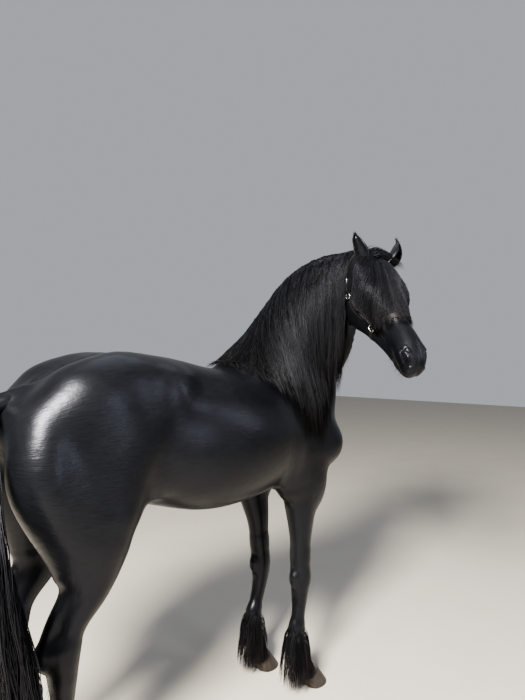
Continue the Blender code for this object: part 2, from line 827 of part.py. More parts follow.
def torso():
    ob = flesh("torso", TORSO + NECK, (-.92, -.42, .86), (.98, .42, 1.80), .020, 2120,
               [below(NECK_CUT), ((0, 0, ELBOW_CUT + GAP / 2), (0, 0, -1))])
    return combine(ob, [dock(2 * GAP)], "DIFFERENCE")


def mane():
    """Long locks rooted along the crest, all falling over the right side of the neck. Every other
    lock lies on top of its neighbours."""
    rng = np.random.default_rng(11)
    mid, size, _, _, side, plus = follow(NECK_LINE, 12)
    first_row, last_row = 13, 64
    count = MANE_LOCKS
    at = np.linspace(first_row, last_row, count).astype(int)
    t = (at - first_row) / (last_row - first_row)
    right = -side[at]
    upper = np.arange(count) % 2
    roots = mid[at] + plus[at] * (size[at, 1] - .022)[:, None]
    roots = roots + right * (.020 - .024 * upper)[:, None]
    first = plus[at] * (.10 + .20 * upper)[:, None] + right
    lengths = np.interp(t, (0, .12, .3, .55, .8, 1), (.30, .50, .76, .98, 1.02, .90))
    lengths = lengths * rng.uniform(.88, 1.04, count)
    clear = .0165 + .0155 * upper
    fall = DOWN + right * .04
    paths = lay(roots, first, lengths, 7, clear, FLESH, fall, rng)
    widths = np.clip(beside(paths) * 1.45, .035, .13)
    profile = (.85, 1.0, 1.0, .95, .8, .5)
    return locks(paths, widths, .012, profile, FLESH)


def neck_node():
    ob = flesh("neck", TORSO + NECK + HEAD_FLESH, (.20, -.62, 1.16), (1.02, .22, 2.24), .016, 900,
               [above(NECK_CUT)], head_room)
    combine(ob, mane())
    return combine(ob, [head_room(-GAP / 2)], "DIFFERENCE")


def forelock():
    """Locks from between the ears that rise a little, then cover the face as far as the noseband."""
    rng = np.random.default_rng(23)
    count = FORELOCK_LOCKS
    order = np.arange(count)
    spread = np.linspace(-1, 1, count)
    x = np.where(order % 2, .018, .032)
    roots = HEAD.world(np.stack([x, spread * .020, np.full(count, -.014)], 1))
    first = HEAD.world(np.stack([.45 + 0 * x, spread * .30, .75 + 0 * x], 1)) - HEAD.origin
    aside = HEAD.world(np.stack([.85 + 0 * x, spread * .10, -.30 + 0 * x], 1)) - HEAD.origin
    lengths = (.445 - .05 * np.abs(spread)) * rng.uniform(.92, 1.0, count)
    clear = .0105 + .0095 * (order % 2)
    paths = lay(roots, first, lengths, 7, clear, FLESH, aside, rng, drift=.02)
    widths = .40 / count * rng.uniform(.95, 1.15, count)
    profile = (.45, .85, 1.0, 1.0, .8, .5)
    return locks(paths, widths, .008, profile, FLESH)


def feather(foot):
    """Locks behind and beside the fetlock and pastern, falling over the hoof almost to the floor."""
    rng = np.random.default_rng(len(foot) * 7 + 3 * ("left" in foot))
    _, _, fetlock, sole, y = FEET[foot]
    crown = sole - .043
    pieces = []
    shapes = QUARTERS[foot] + [hoof_form(foot)]
    count = FEATHER_LOCKS
    order = np.arange(count)
    for row, (height, length, lean) in enumerate(((.165, .165, .45), (.262, .215, .30))):
        turn = np.radians(np.linspace(-118, 118, count) + rng.uniform(-4, 4, count))
        out = np.stack([-np.cos(turn), np.sin(turn), 0 * turn], 1)
        lean_back = max(0.0, (FETLOCK - height) / (FETLOCK - CORONET))
        heart = np.array([mix(fetlock, crown, lean_back) - .004, y, height])
        skin = to_skin(shapes, np.repeat(heart[None], count, 0), out)
        roots = skin - out * .012
        lengths = length * (.85 + .25 * np.cos(turn / 2) ** 2) * rng.uniform(.93, 1.06, count)
        clear = .0085 + .0085 * (order % 2) + .017 * row
        fall = np.repeat(DOWN[None], count, 0) + out * .12
        paths = lay(roots, out * lean + DOWN, lengths, 5, clear, shapes, fall, rng, drift=.02)
        widths = (.44 + .06 * row) / count * rng.uniform(.95, 1.15, count)
        profile = (.8, 1.05, 1.0, .7)
        pieces += locks(paths, widths, .0075, profile, shapes)
    return pieces


def hoof_form(foot):
    _, _, _, sole, y = FEET[foot]
    return tube([
        (sole - .043, y, CORONET, .056, .058, .058),
        (sole - .020, y, CORONET / 2, .062, .066, .064),
        (sole, y, .0, .067, .073, .070),
    ], blend=0)


def coronet(foot):
    """The plane between leg and hoof."""
    _, _, _, sole, y = FEET[foot]
    normal = unit(np.array([-CORONET_SLOPE, 0, 1]))
    return (np.array([sole - .043, y, CORONET]), normal)


def leg(foot):
    left, right = (.02, .34) if FEET[foot][1] > 0 else (-.34, -.02)
    back, front = (-.98, -.36) if foot.startswith("hind") else (.34, .80)
    ob = flesh("leg_" + foot, TORSO, (back, left, .0), (front, right, 1.0), .0105, 480,
               [((0, 0, ELBOW_CUT - GAP / 2), (0, 0, 1)), above(coronet(foot))])
    return combine(ob, feather(foot))


def hoof(foot):
    """A hoof wider at the ground than at the coronet, open at the heel, flat on the floor."""
    _, _, _, sole, y = FEET[foot]
    point, normal = below(coronet(foot))
    crown = point[0]
    turns = np.arange(18) * 2 * math.pi / 18
    rings = []
    for drop in (0.0, .35, .8, 1.0):
        long = mix(.0555, .0715, drop)
        wide = mix(.0545, .0665, drop)
        x = mix(crown, sole, drop) + np.cos(turns) * long
        heel = np.clip(-np.cos(turns) - .55, 0, 1)
        x = x + heel * mix(.010, .030, drop)
        y_out = y + np.sin(turns) * wide
        top = point[2] + CORONET_SLOPE * np.cos(turns) * .0555
        z = top * (1 - drop)
        rings.append(np.stack([x, y_out, z], 1))
    rings[0][:, 2] = point[2] + CORONET_SLOPE * (rings[0][:, 0] - point[0])
    return loft("hoof_" + foot, rings, HORN)


def ear_line(side):
    """Base, middle and tip of an ear in the head's frame, pricked and curved in at the tip."""
    lean = .128 if side > 0 else .080
    tall = .80 if side > 0 else 1.0
    return catmull([
        (.058, side * .054, -.020), (.018, side * (lean - .012), .034),
        (.018 - .062 * tall, side * (lean + .012), .034 + .036 * tall),
        (.018 - .106 * tall, side * (lean + .010), .034 + .046 * tall)], 3)


def ear_rings(side, grow=0.0):
    """Sections of an ear, a filled root that opens into a cup facing forward and outward."""
    line = ear_line(side)
    along = unit(np.gradient(line, axis=0))
    open_way = unit(np.array([.55, side * .62, .55]))
    rings = []
    for j, (middle, way) in enumerate(zip(line[:-1], along)):
        u = j / (len(line) - 1)
        front = unit(open_way - way * (open_way @ way))
        across = np.cross(way, front)
        w = (.020 + .015 * math.sin(math.pi * min(1, u * 1.25))) * (1 - u**3.2) + .002 + grow
        deep = w * .95
        hollow = min(1.0, max(0.0, (u - .10) * 5))
        half = math.radians(128)
        back = np.linspace(-half, half, 7)
        outer = [across * w * math.sin(a) - front * deep * math.cos(a) for a in back]
        if grow:
            outer = [p * 1.03 for p in outer]
            outer += [p + front * w * .25 for p in (outer[-1] * .8, outer[0] * .8)]
            rings.append(middle + np.array(outer))
            continue
        inner = []
        for a in back[::-1][1:-1]:
            cup = mix(.30, .72, hollow)
            bend = -front * (deep - .004) * math.cos(a) * cup
            lift = front * w * .62 * (1 - hollow) * (1 if math.cos(a) > 0 else 0)
            inner.append(across * (w - .004) * math.sin(a) * .86 + hollow * bend + lift * .6)
        rings.append(middle + np.array(outer + inner))
    return rings, line[-1]


def ear(side):
    rings, tip = ear_rings(side)
    name = "ear_left" if side > 0 else "ear_right"
    return loft(name, [HEAD.world(r) for r in rings], COAT, tip=HEAD.world(tip))


def ear_socket(side):
    rings, _ = ear_rings(side, 2 * GAP)
    rings = rings[:7]
    line = ear_line(side)
    rings[0] = rings[0] - unit(line[1] - line[0]) * 2 * GAP
    return loft("socket", [HEAD.world(r) for r in rings], COAT)


def eye(side, grow=0.0):
    x, y, z = EYE_AT
    middle = HEAD.world([x, side * y, z])
    radius = EYE_RADIUS + grow
    rings = []
    for polar in np.radians(np.arange(22.5, 180, 22.5)):
        turns = np.arange(10) * math.pi / 5
        r = radius * math.sin(polar)
        ring = np.stack([r * np.cos(turns), side * radius * math.cos(polar) + 0 * turns,
                         r * np.sin(turns)], 1)
        rings.append(middle + ring @ HEAD.axes)
    return loft("eye_left" if side > 0 else "eye_right", rings, EYE_DARK)


# the halter

def on_skin(points, axis=-.085, shapes=HEAD_FLESH):
    """Where rays from the head's axis through points of its frame come out of the skin."""
    points = np.array(points, float)
    start = points * [1, 0, 0] + [0, 0, axis]
    return to_skin(shapes, HEAD.world(start), unit(points - start) @ HEAD.axes, .26)


def strap(name, points, width, grow=0.0, sink=.0012, shapes=HEAD_FLESH):
    """A strap laid over the skin through points given in the head's frame."""
    line = on_skin(catmull(points, 2), shapes=shapes)
    face = slope(shapes, line)
    along = unit(np.gradient(line, axis=0))
    side = unit(np.cross(along, face))
    line[0] = line[0] - along[0] * grow
    line[-1] = line[-1] + along[-1] * grow
    w = width / 2 + grow
    rings = []
    for p, s, f in zip(line, side, face):
        low = p - f * (sink + grow)
        high = p + f * (STRAP_THICK - sink + grow)
        rings.append(np.stack([low - s * w, low + s * w, high + s * w, high - s * w]))
    return loft(name, rings, LEATHER)


def ring(name, at, size, wire, lift, square=2.0, turn=0.0, pocket=False):
    """A ring of wire lying on the skin, round or squared off, or the shallow dent that it lies in."""
    middle = on_skin([at], at[2], FLESH)
    face = slope(FLESH, middle)[0]
    u = unit(HEAD.axes[0] - face * (HEAD.axes[0] @ face))
    v = np.cross(face, u)
    middle = middle[0] + face * lift
    count = 12
    outline = []
    for a in np.arange(count) * 2 * math.pi / count + math.radians(turn):
        c, s = math.cos(a), math.sin(a)
        r = (abs(c) ** square + abs(s) ** square) ** (-1 / square)
        outline.append((u * c * size[0] + v * s * size[1]) * r)
    outline = np.array(outline)
    if pocket:
        wide = outline + unit(outline) * (wire + GAP * 1.5)
        depth = face * (wire + GAP * 1.5)
        return loft(name, [middle + wide - depth, middle + wide + depth], CHROME)
    spots = []
    for p in outline:
        for b in np.arange(5) * 2 * math.pi / 5:
            spots.append(middle + p + unit(p) * math.cos(b) * wire + face * math.sin(b) * wire)
    faces = []
    for k in range(count):
        for b in range(5):
            m, c = (k + 1) % count, (b + 1) % 5
            faces.append((k * 5 + b, k * 5 + c, m * 5 + c, m * 5 + b))
    return closed(make(name, spots, faces, CHROME))


def halter(pocket=False):
    """The straps and rings of the headcollar, or the pockets that they press into the coat."""
    grow = GAP * 1.5 if pocket else 0.0
    made = []
    for side, hand in ((1, "left"), (-1, "right")):
        made.append(strap("halter_cheek_" + hand, [
            (.142, side * .100, -.148), (.18, side * .100, -.150), (.24, side * .092, -.146),
            (.303, side * .078, -.140)], .026, grow))
        made.append(ring("halter_jowl_ring_" + hand, (.115, side * .098, -.146), (.015, .015), .0026,
                         .0034, pocket=pocket))
        made.append(ring("halter_nose_ring_" + hand, (.327, side * .074, -.138), (.016, .017), .0028,
                         .0036, square=5, turn=15, pocket=pocket))
    made.append(strap("halter_crown", [
        (.088, -.098, -.138), (.034, -.098, -.100), (-.004, -.092, -.060), (-.024, -.060, -.012),
        (-.028, 0, .002), (-.024, .060, -.012), (-.004, .092, -.060), (.034, .098, -.100),
        (.088, .098, -.138)], .020, grow, shapes=FLESH))
    made.append(strap("halter_throat", [
        (.104, -.096, -.166), (.080, -.078, -.225), (.066, -.040, -.262), (.062, 0, -.268),
        (.066, .040, -.262), (.080, .078, -.225), (.104, .096, -.166)], .014, grow))
    made.append(strap("halter_noseband", [
        (.342, -.073, -.117), (.360, -.060, -.060), (.374, -.036, -.010), (.380, 0, .004),
        (.374, .036, -.010), (.360, .060, -.060), (.342, .073, -.117)], .026, grow))
    made.append(strap("halter_chin", [
        (.336, -.068, -.176), (.350, -.052, -.198), (.356, 0, -.222), (.350, .052, -.198),
        (.336, .068, -.176)], .020, grow))
    return made


def rod(name, path, sizes, sides=5):
    """A closed rod along points of the head's frame."""
    path = HEAD.world(path)
    along = unit(np.gradient(path, axis=0))
    across = unit(np.cross(along, HEAD.axes[1]))
    third = np.cross(along, across)
    turns = np.arange(sides) * 2 * math.pi / sides
    rings = []
    for p, a, b, size in zip(path, across, third, sizes):
        rings.append(p + np.outer(np.cos(turns), a) * size + np.outer(np.sin(turns), b) * size)
    return loft(name, rings, COAT)


def lids(side):
    """The upper and the lower lid of an eye, meeting at its corners."""
    x, y, z = EYE_AT
    upper = [(.028, .000, -.014), (.012, .0185, .008), (-.008, .0195, .014), (-.028, .006, .006)]
    lower = [(.028, .000, -.014), (.008, .0175, -.018), (-.012, .0165, -.012), (-.028, .006, .004)]
    made = []
    for line, size in ((upper, .0058), (lower, .0048)):
        path = catmull([(x + a, side * (y + b), z + c) for a, b, c in line], 2)
        made.append(rod("lid", path, size * np.interp(np.linspace(-1, 1, len(path)) ** 2, (0, 1), (1, .6))))
    return made


def lid_opening(side):
    """The almond between the lids, cut down to the eyeball."""
    x, y, z = EYE_AT
    rings = []
    for depth, share in ((.010, .55), (.018, 1.0), (.034, 1.15)):
        turns = np.arange(8) * math.pi / 4
        long = .0195 * share * np.cos(turns)
        high = .0098 * share * np.sin(turns)
        rings.append(HEAD.world(np.stack([
            x + long, np.full(8, side * (y + depth)), z - .001 + high - long * .16], 1)))
    return loft("lid_opening", rings, COAT)


def nostril_rim(side):
    """The raised wing round the front of a nostril."""
    path = catmull([(.550, side * .046, -.032), (.590, side * .046, -.042), (.612, side * .040, -.068),
                    (.600, side * .044, -.094)], 2)
    return rod("rim", path, np.interp(np.linspace(-1, 1, len(path)) ** 2, (0, 1), (.0095, .0065)))


def nostril(side):
    """The comma-shaped opening of a nostril, running up and inward."""
    rings = []
    for y, share, shift in ((.020, .30, .012), (.040, .75, .004), (.058, 1.0, 0), (.085, 1.35, -.004)):
        outline = [(-.026, .014), (-.008, .016), (.010, .008), (.018, -.010), (.012, -.028),
                   (.002, -.026), (.000, -.010), (-.010, .002)]
        points = [(.583 - shift + a * share, side * y, -.062 + shift + b * share) for a, b in outline]
        rings.append(HEAD.world(points))
    return loft("nostril", rings, COAT)


def mouth():
    """A groove between the lips, from one corner of the mouth round the front to the other."""
    half = [(.482, .050, -.117), (.520, .052, -.119), (.560, .048, -.121), (.595, .042, -.122),
            (.622, .024, -.122)]
    line = half + [(.634, 0, -.122)] + [(x, -y, z) for x, y, z in half[::-1]]
    line = settle(FLESH, HEAD.world(line), 6)
    out = slope(FLESH, line)
    along = unit(np.gradient(line, axis=0))
    across = unit(np.cross(along, out))
    share = np.interp(np.linspace(-1, 1, len(line)) ** 2, (0, .6, 1), (1, 1, .45))
    rings = []
    for p, o, a, k in zip(line, out, across, share):
        rings.append(np.stack([p + o * .006 + a * .0050 * k, p + o * .006 - a * .0050 * k,
                               p - o * .010 * k]))
    return loft("mouth", rings, COAT)


def head_node():
    corners = HEAD.world([(x, y, z) for x in (-.10, .66) for y in (-.15, .15) for z in (-.34, .06)])
    shapes = TORSO + NECK + HEAD_FLESH
    ob = flesh("head", shapes, corners.min(0), corners.max(0), .0056, 2050,
               [above(POLL_CUT), above(JAW_CUT), above(CHEEK_CUT)])
    combine(ob, lids(1) + lids(-1) + [nostril_rim(1), nostril_rim(-1)])
    combine(ob, [lid_opening(1), lid_opening(-1), nostril(1), nostril(-1), mouth()], "DIFFERENCE")
    combine(ob, forelock())
    cutters = halter(pocket=True) + [eye(1, GAP), eye(-1, GAP), ear_socket(1), ear_socket(-1)]
    return combine(ob, cutters, "DIFFERENCE")


def tail():
    """Long wavy hair from the dock, hanging behind the hocks almost to the floor, in three layers
    that lie behind one another."""
    rng = np.random.default_rng(31)
    ob = dock()
    line = catmull([(-.800, 0, 1.462), (-.838, 0, 1.425), (-.870, 0, 1.345), (-.878, 0, 1.265)], 6)
    pieces = []
    for i in range(TAIL_LOCKS):
        layer = i % 3
        across = mix(-1, 1, i / (TAIL_LOCKS - 1))
        heart = line[int((len(line) - 1) * (1 - layer / 2) * .999)]
        swing = rng.uniform(-.012, .012, (3, 2))
        back = -.020 * layer
        tip = rng.uniform(.055, .17)
        path = catmull([
            heart + np.array([-.004, across * .012, 0]),
            (heart[0] - .034 + back * .3, across * .050 + TAIL_ASIDE * .08, heart[2] - .085),
            (-.910 + back, across * .095 + TAIL_ASIDE * .55 + swing[0, 1], .98),
            (-.915 + back + swing[1, 0], across * .120 + TAIL_ASIDE + swing[1, 1], .56),
            (-.890 + back + swing[2, 0], across * .135 + TAIL_ASIDE * 1.05 + swing[2, 1], tip)], 2)
        facing = np.array([-1.0, across * .7, .1])
        facing = np.repeat(facing[None], len(path), 0)
        width = 1.05 / TAIL_LOCKS * rng.uniform(.9, 1.1)
        profile = (.35, .75, .95, 1.0, 1.0, .95, .8, .55)
        pieces.append(lock_solid(path, facing, width, .015, profile))
    return combine(ob, pieces)


def centre():
    """Moves every mesh alike, so that the middle of the whole horse's box is over the origin."""
    solids = [ob for ob in bpy.context.scene.objects if ob.type == "MESH"]
    points = np.vstack([[v.co for v in ob.data.vertices] for ob in solids])
    middle = (points.min(0) + points.max(0)) / 2
    for ob in solids:
        ob.data.transform(Matrix.Translation((-middle[0], -middle[1], 0)))


torso()
neck_node()
head_node()
halter()
for side in (1, -1):
    ear(side)
    eye(side)
for foot in FEET:
    leg(foot)
    hoof(foot)
tail()
centre()
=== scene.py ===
"""A black friesian stallion, life size, standing with its head raised and turned to its right.

The file goes over the horse as it grows and is dressed: the skin with its short coat, eyes, ears,
hooves, mane, forelock, tail, feathers and short tufts, then the leather halter and its steel rings.
"""
import json
import math

import bmesh
import bpy
import numpy as np
from mathutils import Matrix, Vector
from mathutils.bvhtree import BVHTree

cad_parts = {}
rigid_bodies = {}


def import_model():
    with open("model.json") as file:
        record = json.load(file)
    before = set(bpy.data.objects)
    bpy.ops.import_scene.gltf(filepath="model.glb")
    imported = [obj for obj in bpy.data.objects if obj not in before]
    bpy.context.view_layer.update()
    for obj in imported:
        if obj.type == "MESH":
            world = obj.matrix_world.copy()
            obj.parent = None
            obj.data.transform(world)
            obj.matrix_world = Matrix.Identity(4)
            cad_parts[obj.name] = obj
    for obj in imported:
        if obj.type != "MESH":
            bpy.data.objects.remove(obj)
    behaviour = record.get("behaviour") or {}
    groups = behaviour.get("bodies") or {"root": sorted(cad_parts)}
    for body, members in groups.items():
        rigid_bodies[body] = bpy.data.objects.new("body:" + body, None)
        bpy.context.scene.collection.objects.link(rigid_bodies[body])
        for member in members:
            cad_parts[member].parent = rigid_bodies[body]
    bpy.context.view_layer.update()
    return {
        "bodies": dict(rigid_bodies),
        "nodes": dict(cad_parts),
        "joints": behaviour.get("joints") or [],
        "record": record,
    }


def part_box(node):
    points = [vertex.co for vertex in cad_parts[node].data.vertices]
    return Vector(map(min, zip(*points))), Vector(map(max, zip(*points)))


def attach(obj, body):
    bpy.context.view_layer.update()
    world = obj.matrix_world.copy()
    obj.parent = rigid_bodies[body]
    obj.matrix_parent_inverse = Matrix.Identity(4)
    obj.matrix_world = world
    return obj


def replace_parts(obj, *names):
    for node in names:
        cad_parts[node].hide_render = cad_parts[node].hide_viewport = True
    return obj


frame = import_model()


# The skin. One living hide over the whole horse, from the muzzle to the coronets, with a short glossy
# black coat that lies flat and shows the muscles and the veins of the face. Eyelids, nostrils and
# lips are folds of it.
POLL = (0.807, -0.402, 2.075)   # top of the head between the ears
HEADING = -114.0       # how far round the head looks, degrees from straight ahead
PITCH = 40.0           # slope of the face from the vertical, degrees
HOCK = 0.64            # height of the hock
KNEE = 0.53            # height of the knee
FETLOCK = 0.225        # height of the fetlock joint
CORONET = 0.068        # height of the top of the hoof at its middle
CROWN_BACK = 0.043     # how far that middle lies behind the middle of the sole
HOOF_REACH = 0.0715    # from the middle of the sole to the toe
FEET = {
    # hock or knee x and y, fetlock x, middle of the sole x and y
    "hind_right": (-0.655, -0.160, -0.655, -0.540, -0.155),
    "hind_left": (-0.700, 0.160, -0.700, -0.585, 0.155),
    "fore_right": (0.547, -0.145, 0.522, 0.632, -0.140),
    "fore_left": (0.545, 0.130, 0.490, 0.565, 0.125),
}
EYE_AT = (0.216, 0.0835, -0.036)    # in the head's own frame, for the left eye


def catmull(rows, parts):
    """Rows of numbers joined by a smooth curve through all of them."""
    rows = np.array(rows, float)
    if len(rows) == 2:
        t = np.linspace(0, 1, parts + 1)[:, None]
        return rows[0] * (1 - t) + rows[1] * t
    ends = np.vstack([2 * rows[0] - rows[1], rows, 2 * rows[-1] - rows[-2]])
    out = []
    for i in range(1, len(ends) - 2):
        a, b, c, d = ends[i - 1 : i + 3]
        for t in np.arange(parts) / parts:
            bend = 2 * a - 5 * b + 4 * c - d
            twist = 3 * b - a - 3 * c + d
            out.append(0.5 * (2 * b + (c - a) * t + bend * t**2 + twist * t**3))
    out.append(rows[-1])
    return np.array(out)


def unit(v):
    return v / np.maximum(np.linalg.norm(v, axis=-1, keepdims=True), 1e-12)


def mix(a, b, t):
    return a + (b - a) * t


class Frame:
    """A local frame: its origin, and its three axes as rows."""

    def __init__(self, origin=(0, 0, 0), axes=None):
        self.origin = np.array(origin, float)
        self.axes = np.eye(3) if axes is None else np.array(axes, float)

    def local(self, p):
        return (np.asarray(p, float) - self.origin) @ self.axes.T

    def world(self, p):
        return np.asarray(p, float) @ self.axes + self.origin


def head_frame():
    """x runs down the face from the poll, y to the horse's left, z out of the forehead."""
    turn = math.radians(HEADING)
    slope = math.radians(PITCH)
    forward = np.array([math.cos(turn), math.sin(turn), 0])
    up = np.array([0, 0, 1.0])
    down_face = forward * math.sin(slope) - up * math.cos(slope)
    out_of_face = forward * math.cos(slope) + up * math.sin(slope)
    return Frame(POLL, [down_face, np.cross(out_of_face, down_face), out_of_face])


WORLD = Frame()
HEAD = head_frame()


def smooth_min(a, b, blend):
    if blend <= 0:
        return np.minimum(a, b)
    h = np.maximum(blend - np.abs(a - b), 0) / blend
    return np.minimum(a, b) - h * h * blend * 0.25


class Shape:
    def __init__(self, distance, low, high, blend, carve, frame, both):
        self.distance, self.blend, self.carve = distance, blend, carve
        self.frame, self.both = frame, both
        reach = blend + 0.02
        self.low = np.array(low) - reach
        self.high = np.array(high) + reach


def follow(stations, parts, square=2.0):
    """A smooth line through stations: middles, sizes, powers, and three directions at each point."""
    rows = [list(s) + [0.0] * (7 - len(s)) for s in stations]
    rows = [r if len(r) == 8 else r + [square] for r in rows]
    rows = catmull(rows, parts)
    mid = rows[:, :3]
    size = np.maximum(rows[:, 3:6], 0.002)
    heading = np.radians(rows[:, 6])
    tangent = unit(np.gradient(mid, axis=0))
    side = np.stack([-np.sin(heading), np.cos(heading), 0 * heading], 1)
    side = unit(side - (side * tangent).sum(1, keepdims=True) * tangent)
    return mid, size, rows[:, 7], tangent, side, np.cross(tangent, side)


def tube(stations, blend=0.05, carve=False, frame=WORLD, both=False, parts=5, square=2.0):
    """A limb through stations of x, y, z, half width, depth on the plus side, depth on the minus side,
    heading in degrees and the power of the section's plus half. The plus side is forward on a leg,
    up on the trunk, the crest on the neck and the face on the head."""
    mid, size, power, tangent, side, plus = follow(stations, parts, square)
    start = mid[:-1]
    step = mid[1:] - mid[:-1]
    length2 = np.maximum((step**2).sum(1), 1e-12)
    cap = size.mean(1)

    def distance(p):
        best = np.full(len(p), 1e9)
        where = np.zeros(len(p))
        for i in range(len(start)):
            t = np.clip(((p - start[i]) @ step[i]) / length2[i], 0, 1)
            d = ((p - start[i] - t[:, None] * step[i]) ** 2).sum(1)
            nearer = d < best
            best[nearer] = d[nearer]
            where[nearer] = i + t[nearer]
        i = np.minimum(where.astype(int), len(start) - 1)
        t = where - i

        def at(values):
            f = t if values.ndim == 1 else t[:, None]
            return values[i] * (1 - f) + values[i + 1] * f

        q = p - at(mid)
        u = (q * at(side)).sum(1)
        v = (q * at(plus)).sum(1)
        w = (q * at(tangent)).sum(1)
        s = at(size)
        depth = np.where(v > 0, s[:, 1], s[:, 2])
        n = np.where(v > 0, at(power), square)
        flat = (np.abs(u) / s[:, 0]) ** n + (np.abs(v) / depth) ** n
        ratio = np.sqrt(flat ** (2 / n) + (w / at(cap)) ** 2)
        reach = np.sqrt(u * u + v * v + w * w)
        return np.where(ratio > 1e-4, reach * (1 - 1 / np.maximum(ratio, 1e-6)), -s.min(1))

    big = size.max()
    return Shape(distance, mid.min(0) - big, mid.max(0) + big, blend, carve, frame, both)


def ball(centre, radii, blend=0.04, carve=False, frame=WORLD, both=False, tilt=0.0):
    """An ellipsoid, tilted about its frame's y axis in degrees."""
    centre = np.array(centre, float)
    radii = np.array(radii, float)
    c, s = math.cos(math.radians(tilt)), math.sin(math.radians(tilt))
    spin = np.array([[c, 0, s], [0, 1, 0], [-s, 0, c]])

    def distance(p):
        q = (p - centre) @ spin
        ratio = np.sqrt(((q / radii) ** 2).sum(1))
        reach = np.sqrt((q * q).sum(1))
        return np.where(ratio > 1e-4, reach * (1 - 1 / np.maximum(ratio, 1e-6)), -radii.min())

    big = radii.max()
    return Shape(distance, centre - big, centre + big, blend, carve, frame, both)


def field(shapes, p):
    """Signed distance at each point, with the shapes laid on in order."""
    value = np.full(len(p), 1.0)
    local = {}
    for s in shapes:
        key = (id(s.frame), s.both)
        if key not in local:
            q = s.frame.local(p)
            local[key] = np.stack([q[:, 0], np.abs(q[:, 1]), q[:, 2]], 1) if s.both else q
        q = local[key]
        near = np.nonzero(((q > s.low) & (q < s.high)).all(1))[0]
        if not len(near):
            continue
        d = s.distance(q[near])
        if s.carve:
            value[near] = -smooth_min(-value[near], d, s.blend)
        else:
            value[near] = smooth_min(value[near], d, s.blend)
    return value


def slope(shapes, p, eps=0.002):
    """Direction in which the signed distance grows."""
    axes = np.eye(3) * eps
    return unit(np.stack([field(shapes, p + a) - field(shapes, p - a) for a in axes], 1))


def surface(shapes, low, high, step, coarse=4):
    """Points and four-sided faces of the zero surface inside a box, as surface nets make them."""
    low = np.array(low, float)
    high = np.array(high, float)
    blocks = np.ceil((high - low) / (step * coarse)).astype(int)
    count = blocks * coarse + 1
    wide = step * coarse
    ax = [low[k] + wide * np.arange(blocks[k] + 1) for k in range(3)]
    nodes = np.stack(np.meshgrid(*ax, indexing="ij"), -1)
    rough = field(shapes, nodes.reshape(-1, 3)).reshape(nodes.shape[:3])
    near = np.abs(rough) < wide * 1.9
    corners = [(i, j, k) for i in (0, 1) for j in (0, 1) for k in (0, 1)]
    active = np.zeros(blocks, bool)
    for i, j, k in corners:
        active |= near[i : i + blocks[0], j : j + blocks[1], k : k + blocks[2]]
    value = rough.repeat(coarse, 0).repeat(coarse, 1).repeat(coarse, 2)
    value = value[: count[0], : count[1], : count[2]].copy()
    wanted = np.zeros(count, bool)
    fine = active.repeat(coarse, 0).repeat(coarse, 1).repeat(coarse, 2)
    for i, j, k in corners:
        wanted[i : i + fine.shape[0], j : j + fine.shape[1], k : k + fine.shape[2]] |= fine
    index = np.argwhere(wanted)
    value[tuple(index.T)] = field(shapes, low + index * step)
    inside = value < 0
    c = np.array(count) - 1
    total = sum(inside[i : i + c[0], j : j + c[1], k : k + c[2]].astype(np.int8) for i, j, k in corners)
    cells = np.argwhere((total > 0) & (total < 8))
    number = np.full(c, -1, np.int64)
    number[tuple(cells.T)] = np.arange(len(cells))
    points = np.zeros((len(cells), 3))
    hits = np.zeros(len(cells))
    for a in corners:
        for axis in range(3):
            if a[axis]:
                continue
            b = list(a)
            b[axis] = 1
            va = value[tuple((cells + a).T)]
            vb = value[tuple((cells + b).T)]
            cross = (va < 0) != (vb < 0)
            t = va / np.where(cross, va - vb, 1)
            spot = np.array(a) + t[:, None] * (np.array(b) - np.array(a))
            points[cross] += spot[cross]
            hits += cross
    points = low + (cells + points / hits[:, None]) * step
    faces = []
    for axis in range(3):
        u, v = (axis + 1) % 3, (axis + 2) % 3
        shift, du, dv = np.eye(3, dtype=int)[[axis, u, v]]
        a = inside[tuple(slice(0, count[k] - shift[k]) for k in range(3))]
        b = inside[tuple(slice(shift[k], count[k]) for k in range(3))]
        edges = np.argwhere(a != b)
        ok = (edges[:, u] > 0) & (edges[:, v] > 0) & (edges[:, u] < c[u]) & (edges[:, v] < c[v])
        edges = edges[ok]
        around = (edges - du - dv, edges - dv, edges, edges - du)
        quad = np.stack([number[tuple(e.T)] for e in around], 1)
        out = inside[tuple(edges.T)]
        quad[~out] = quad[~out][:, ::-1]
        faces.append(quad)
    faces = np.vstack(faces)
    return points, faces[(faces >= 0).all(1)]


def settle(shapes, points, rounds, level, eps=0.0008, longest=0.006):
    """Points moved on to the surface of one level, by no more than the longest move in a round."""
    axes = np.eye(3) * eps
    for _ in range(rounds):
        f = field(shapes, points) - level
        g = np.stack([(field(shapes, points + a) - field(shapes, points - a)) / (2 * eps) for a in axes], 1)
        move = f[:, None] * g / np.maximum((g * g).sum(1), 0.05)[:, None]
        far = np.linalg.norm(move, axis=1, keepdims=True)
        points = points - move * np.minimum(1, longest / np.maximum(far, 1e-9))
    return points


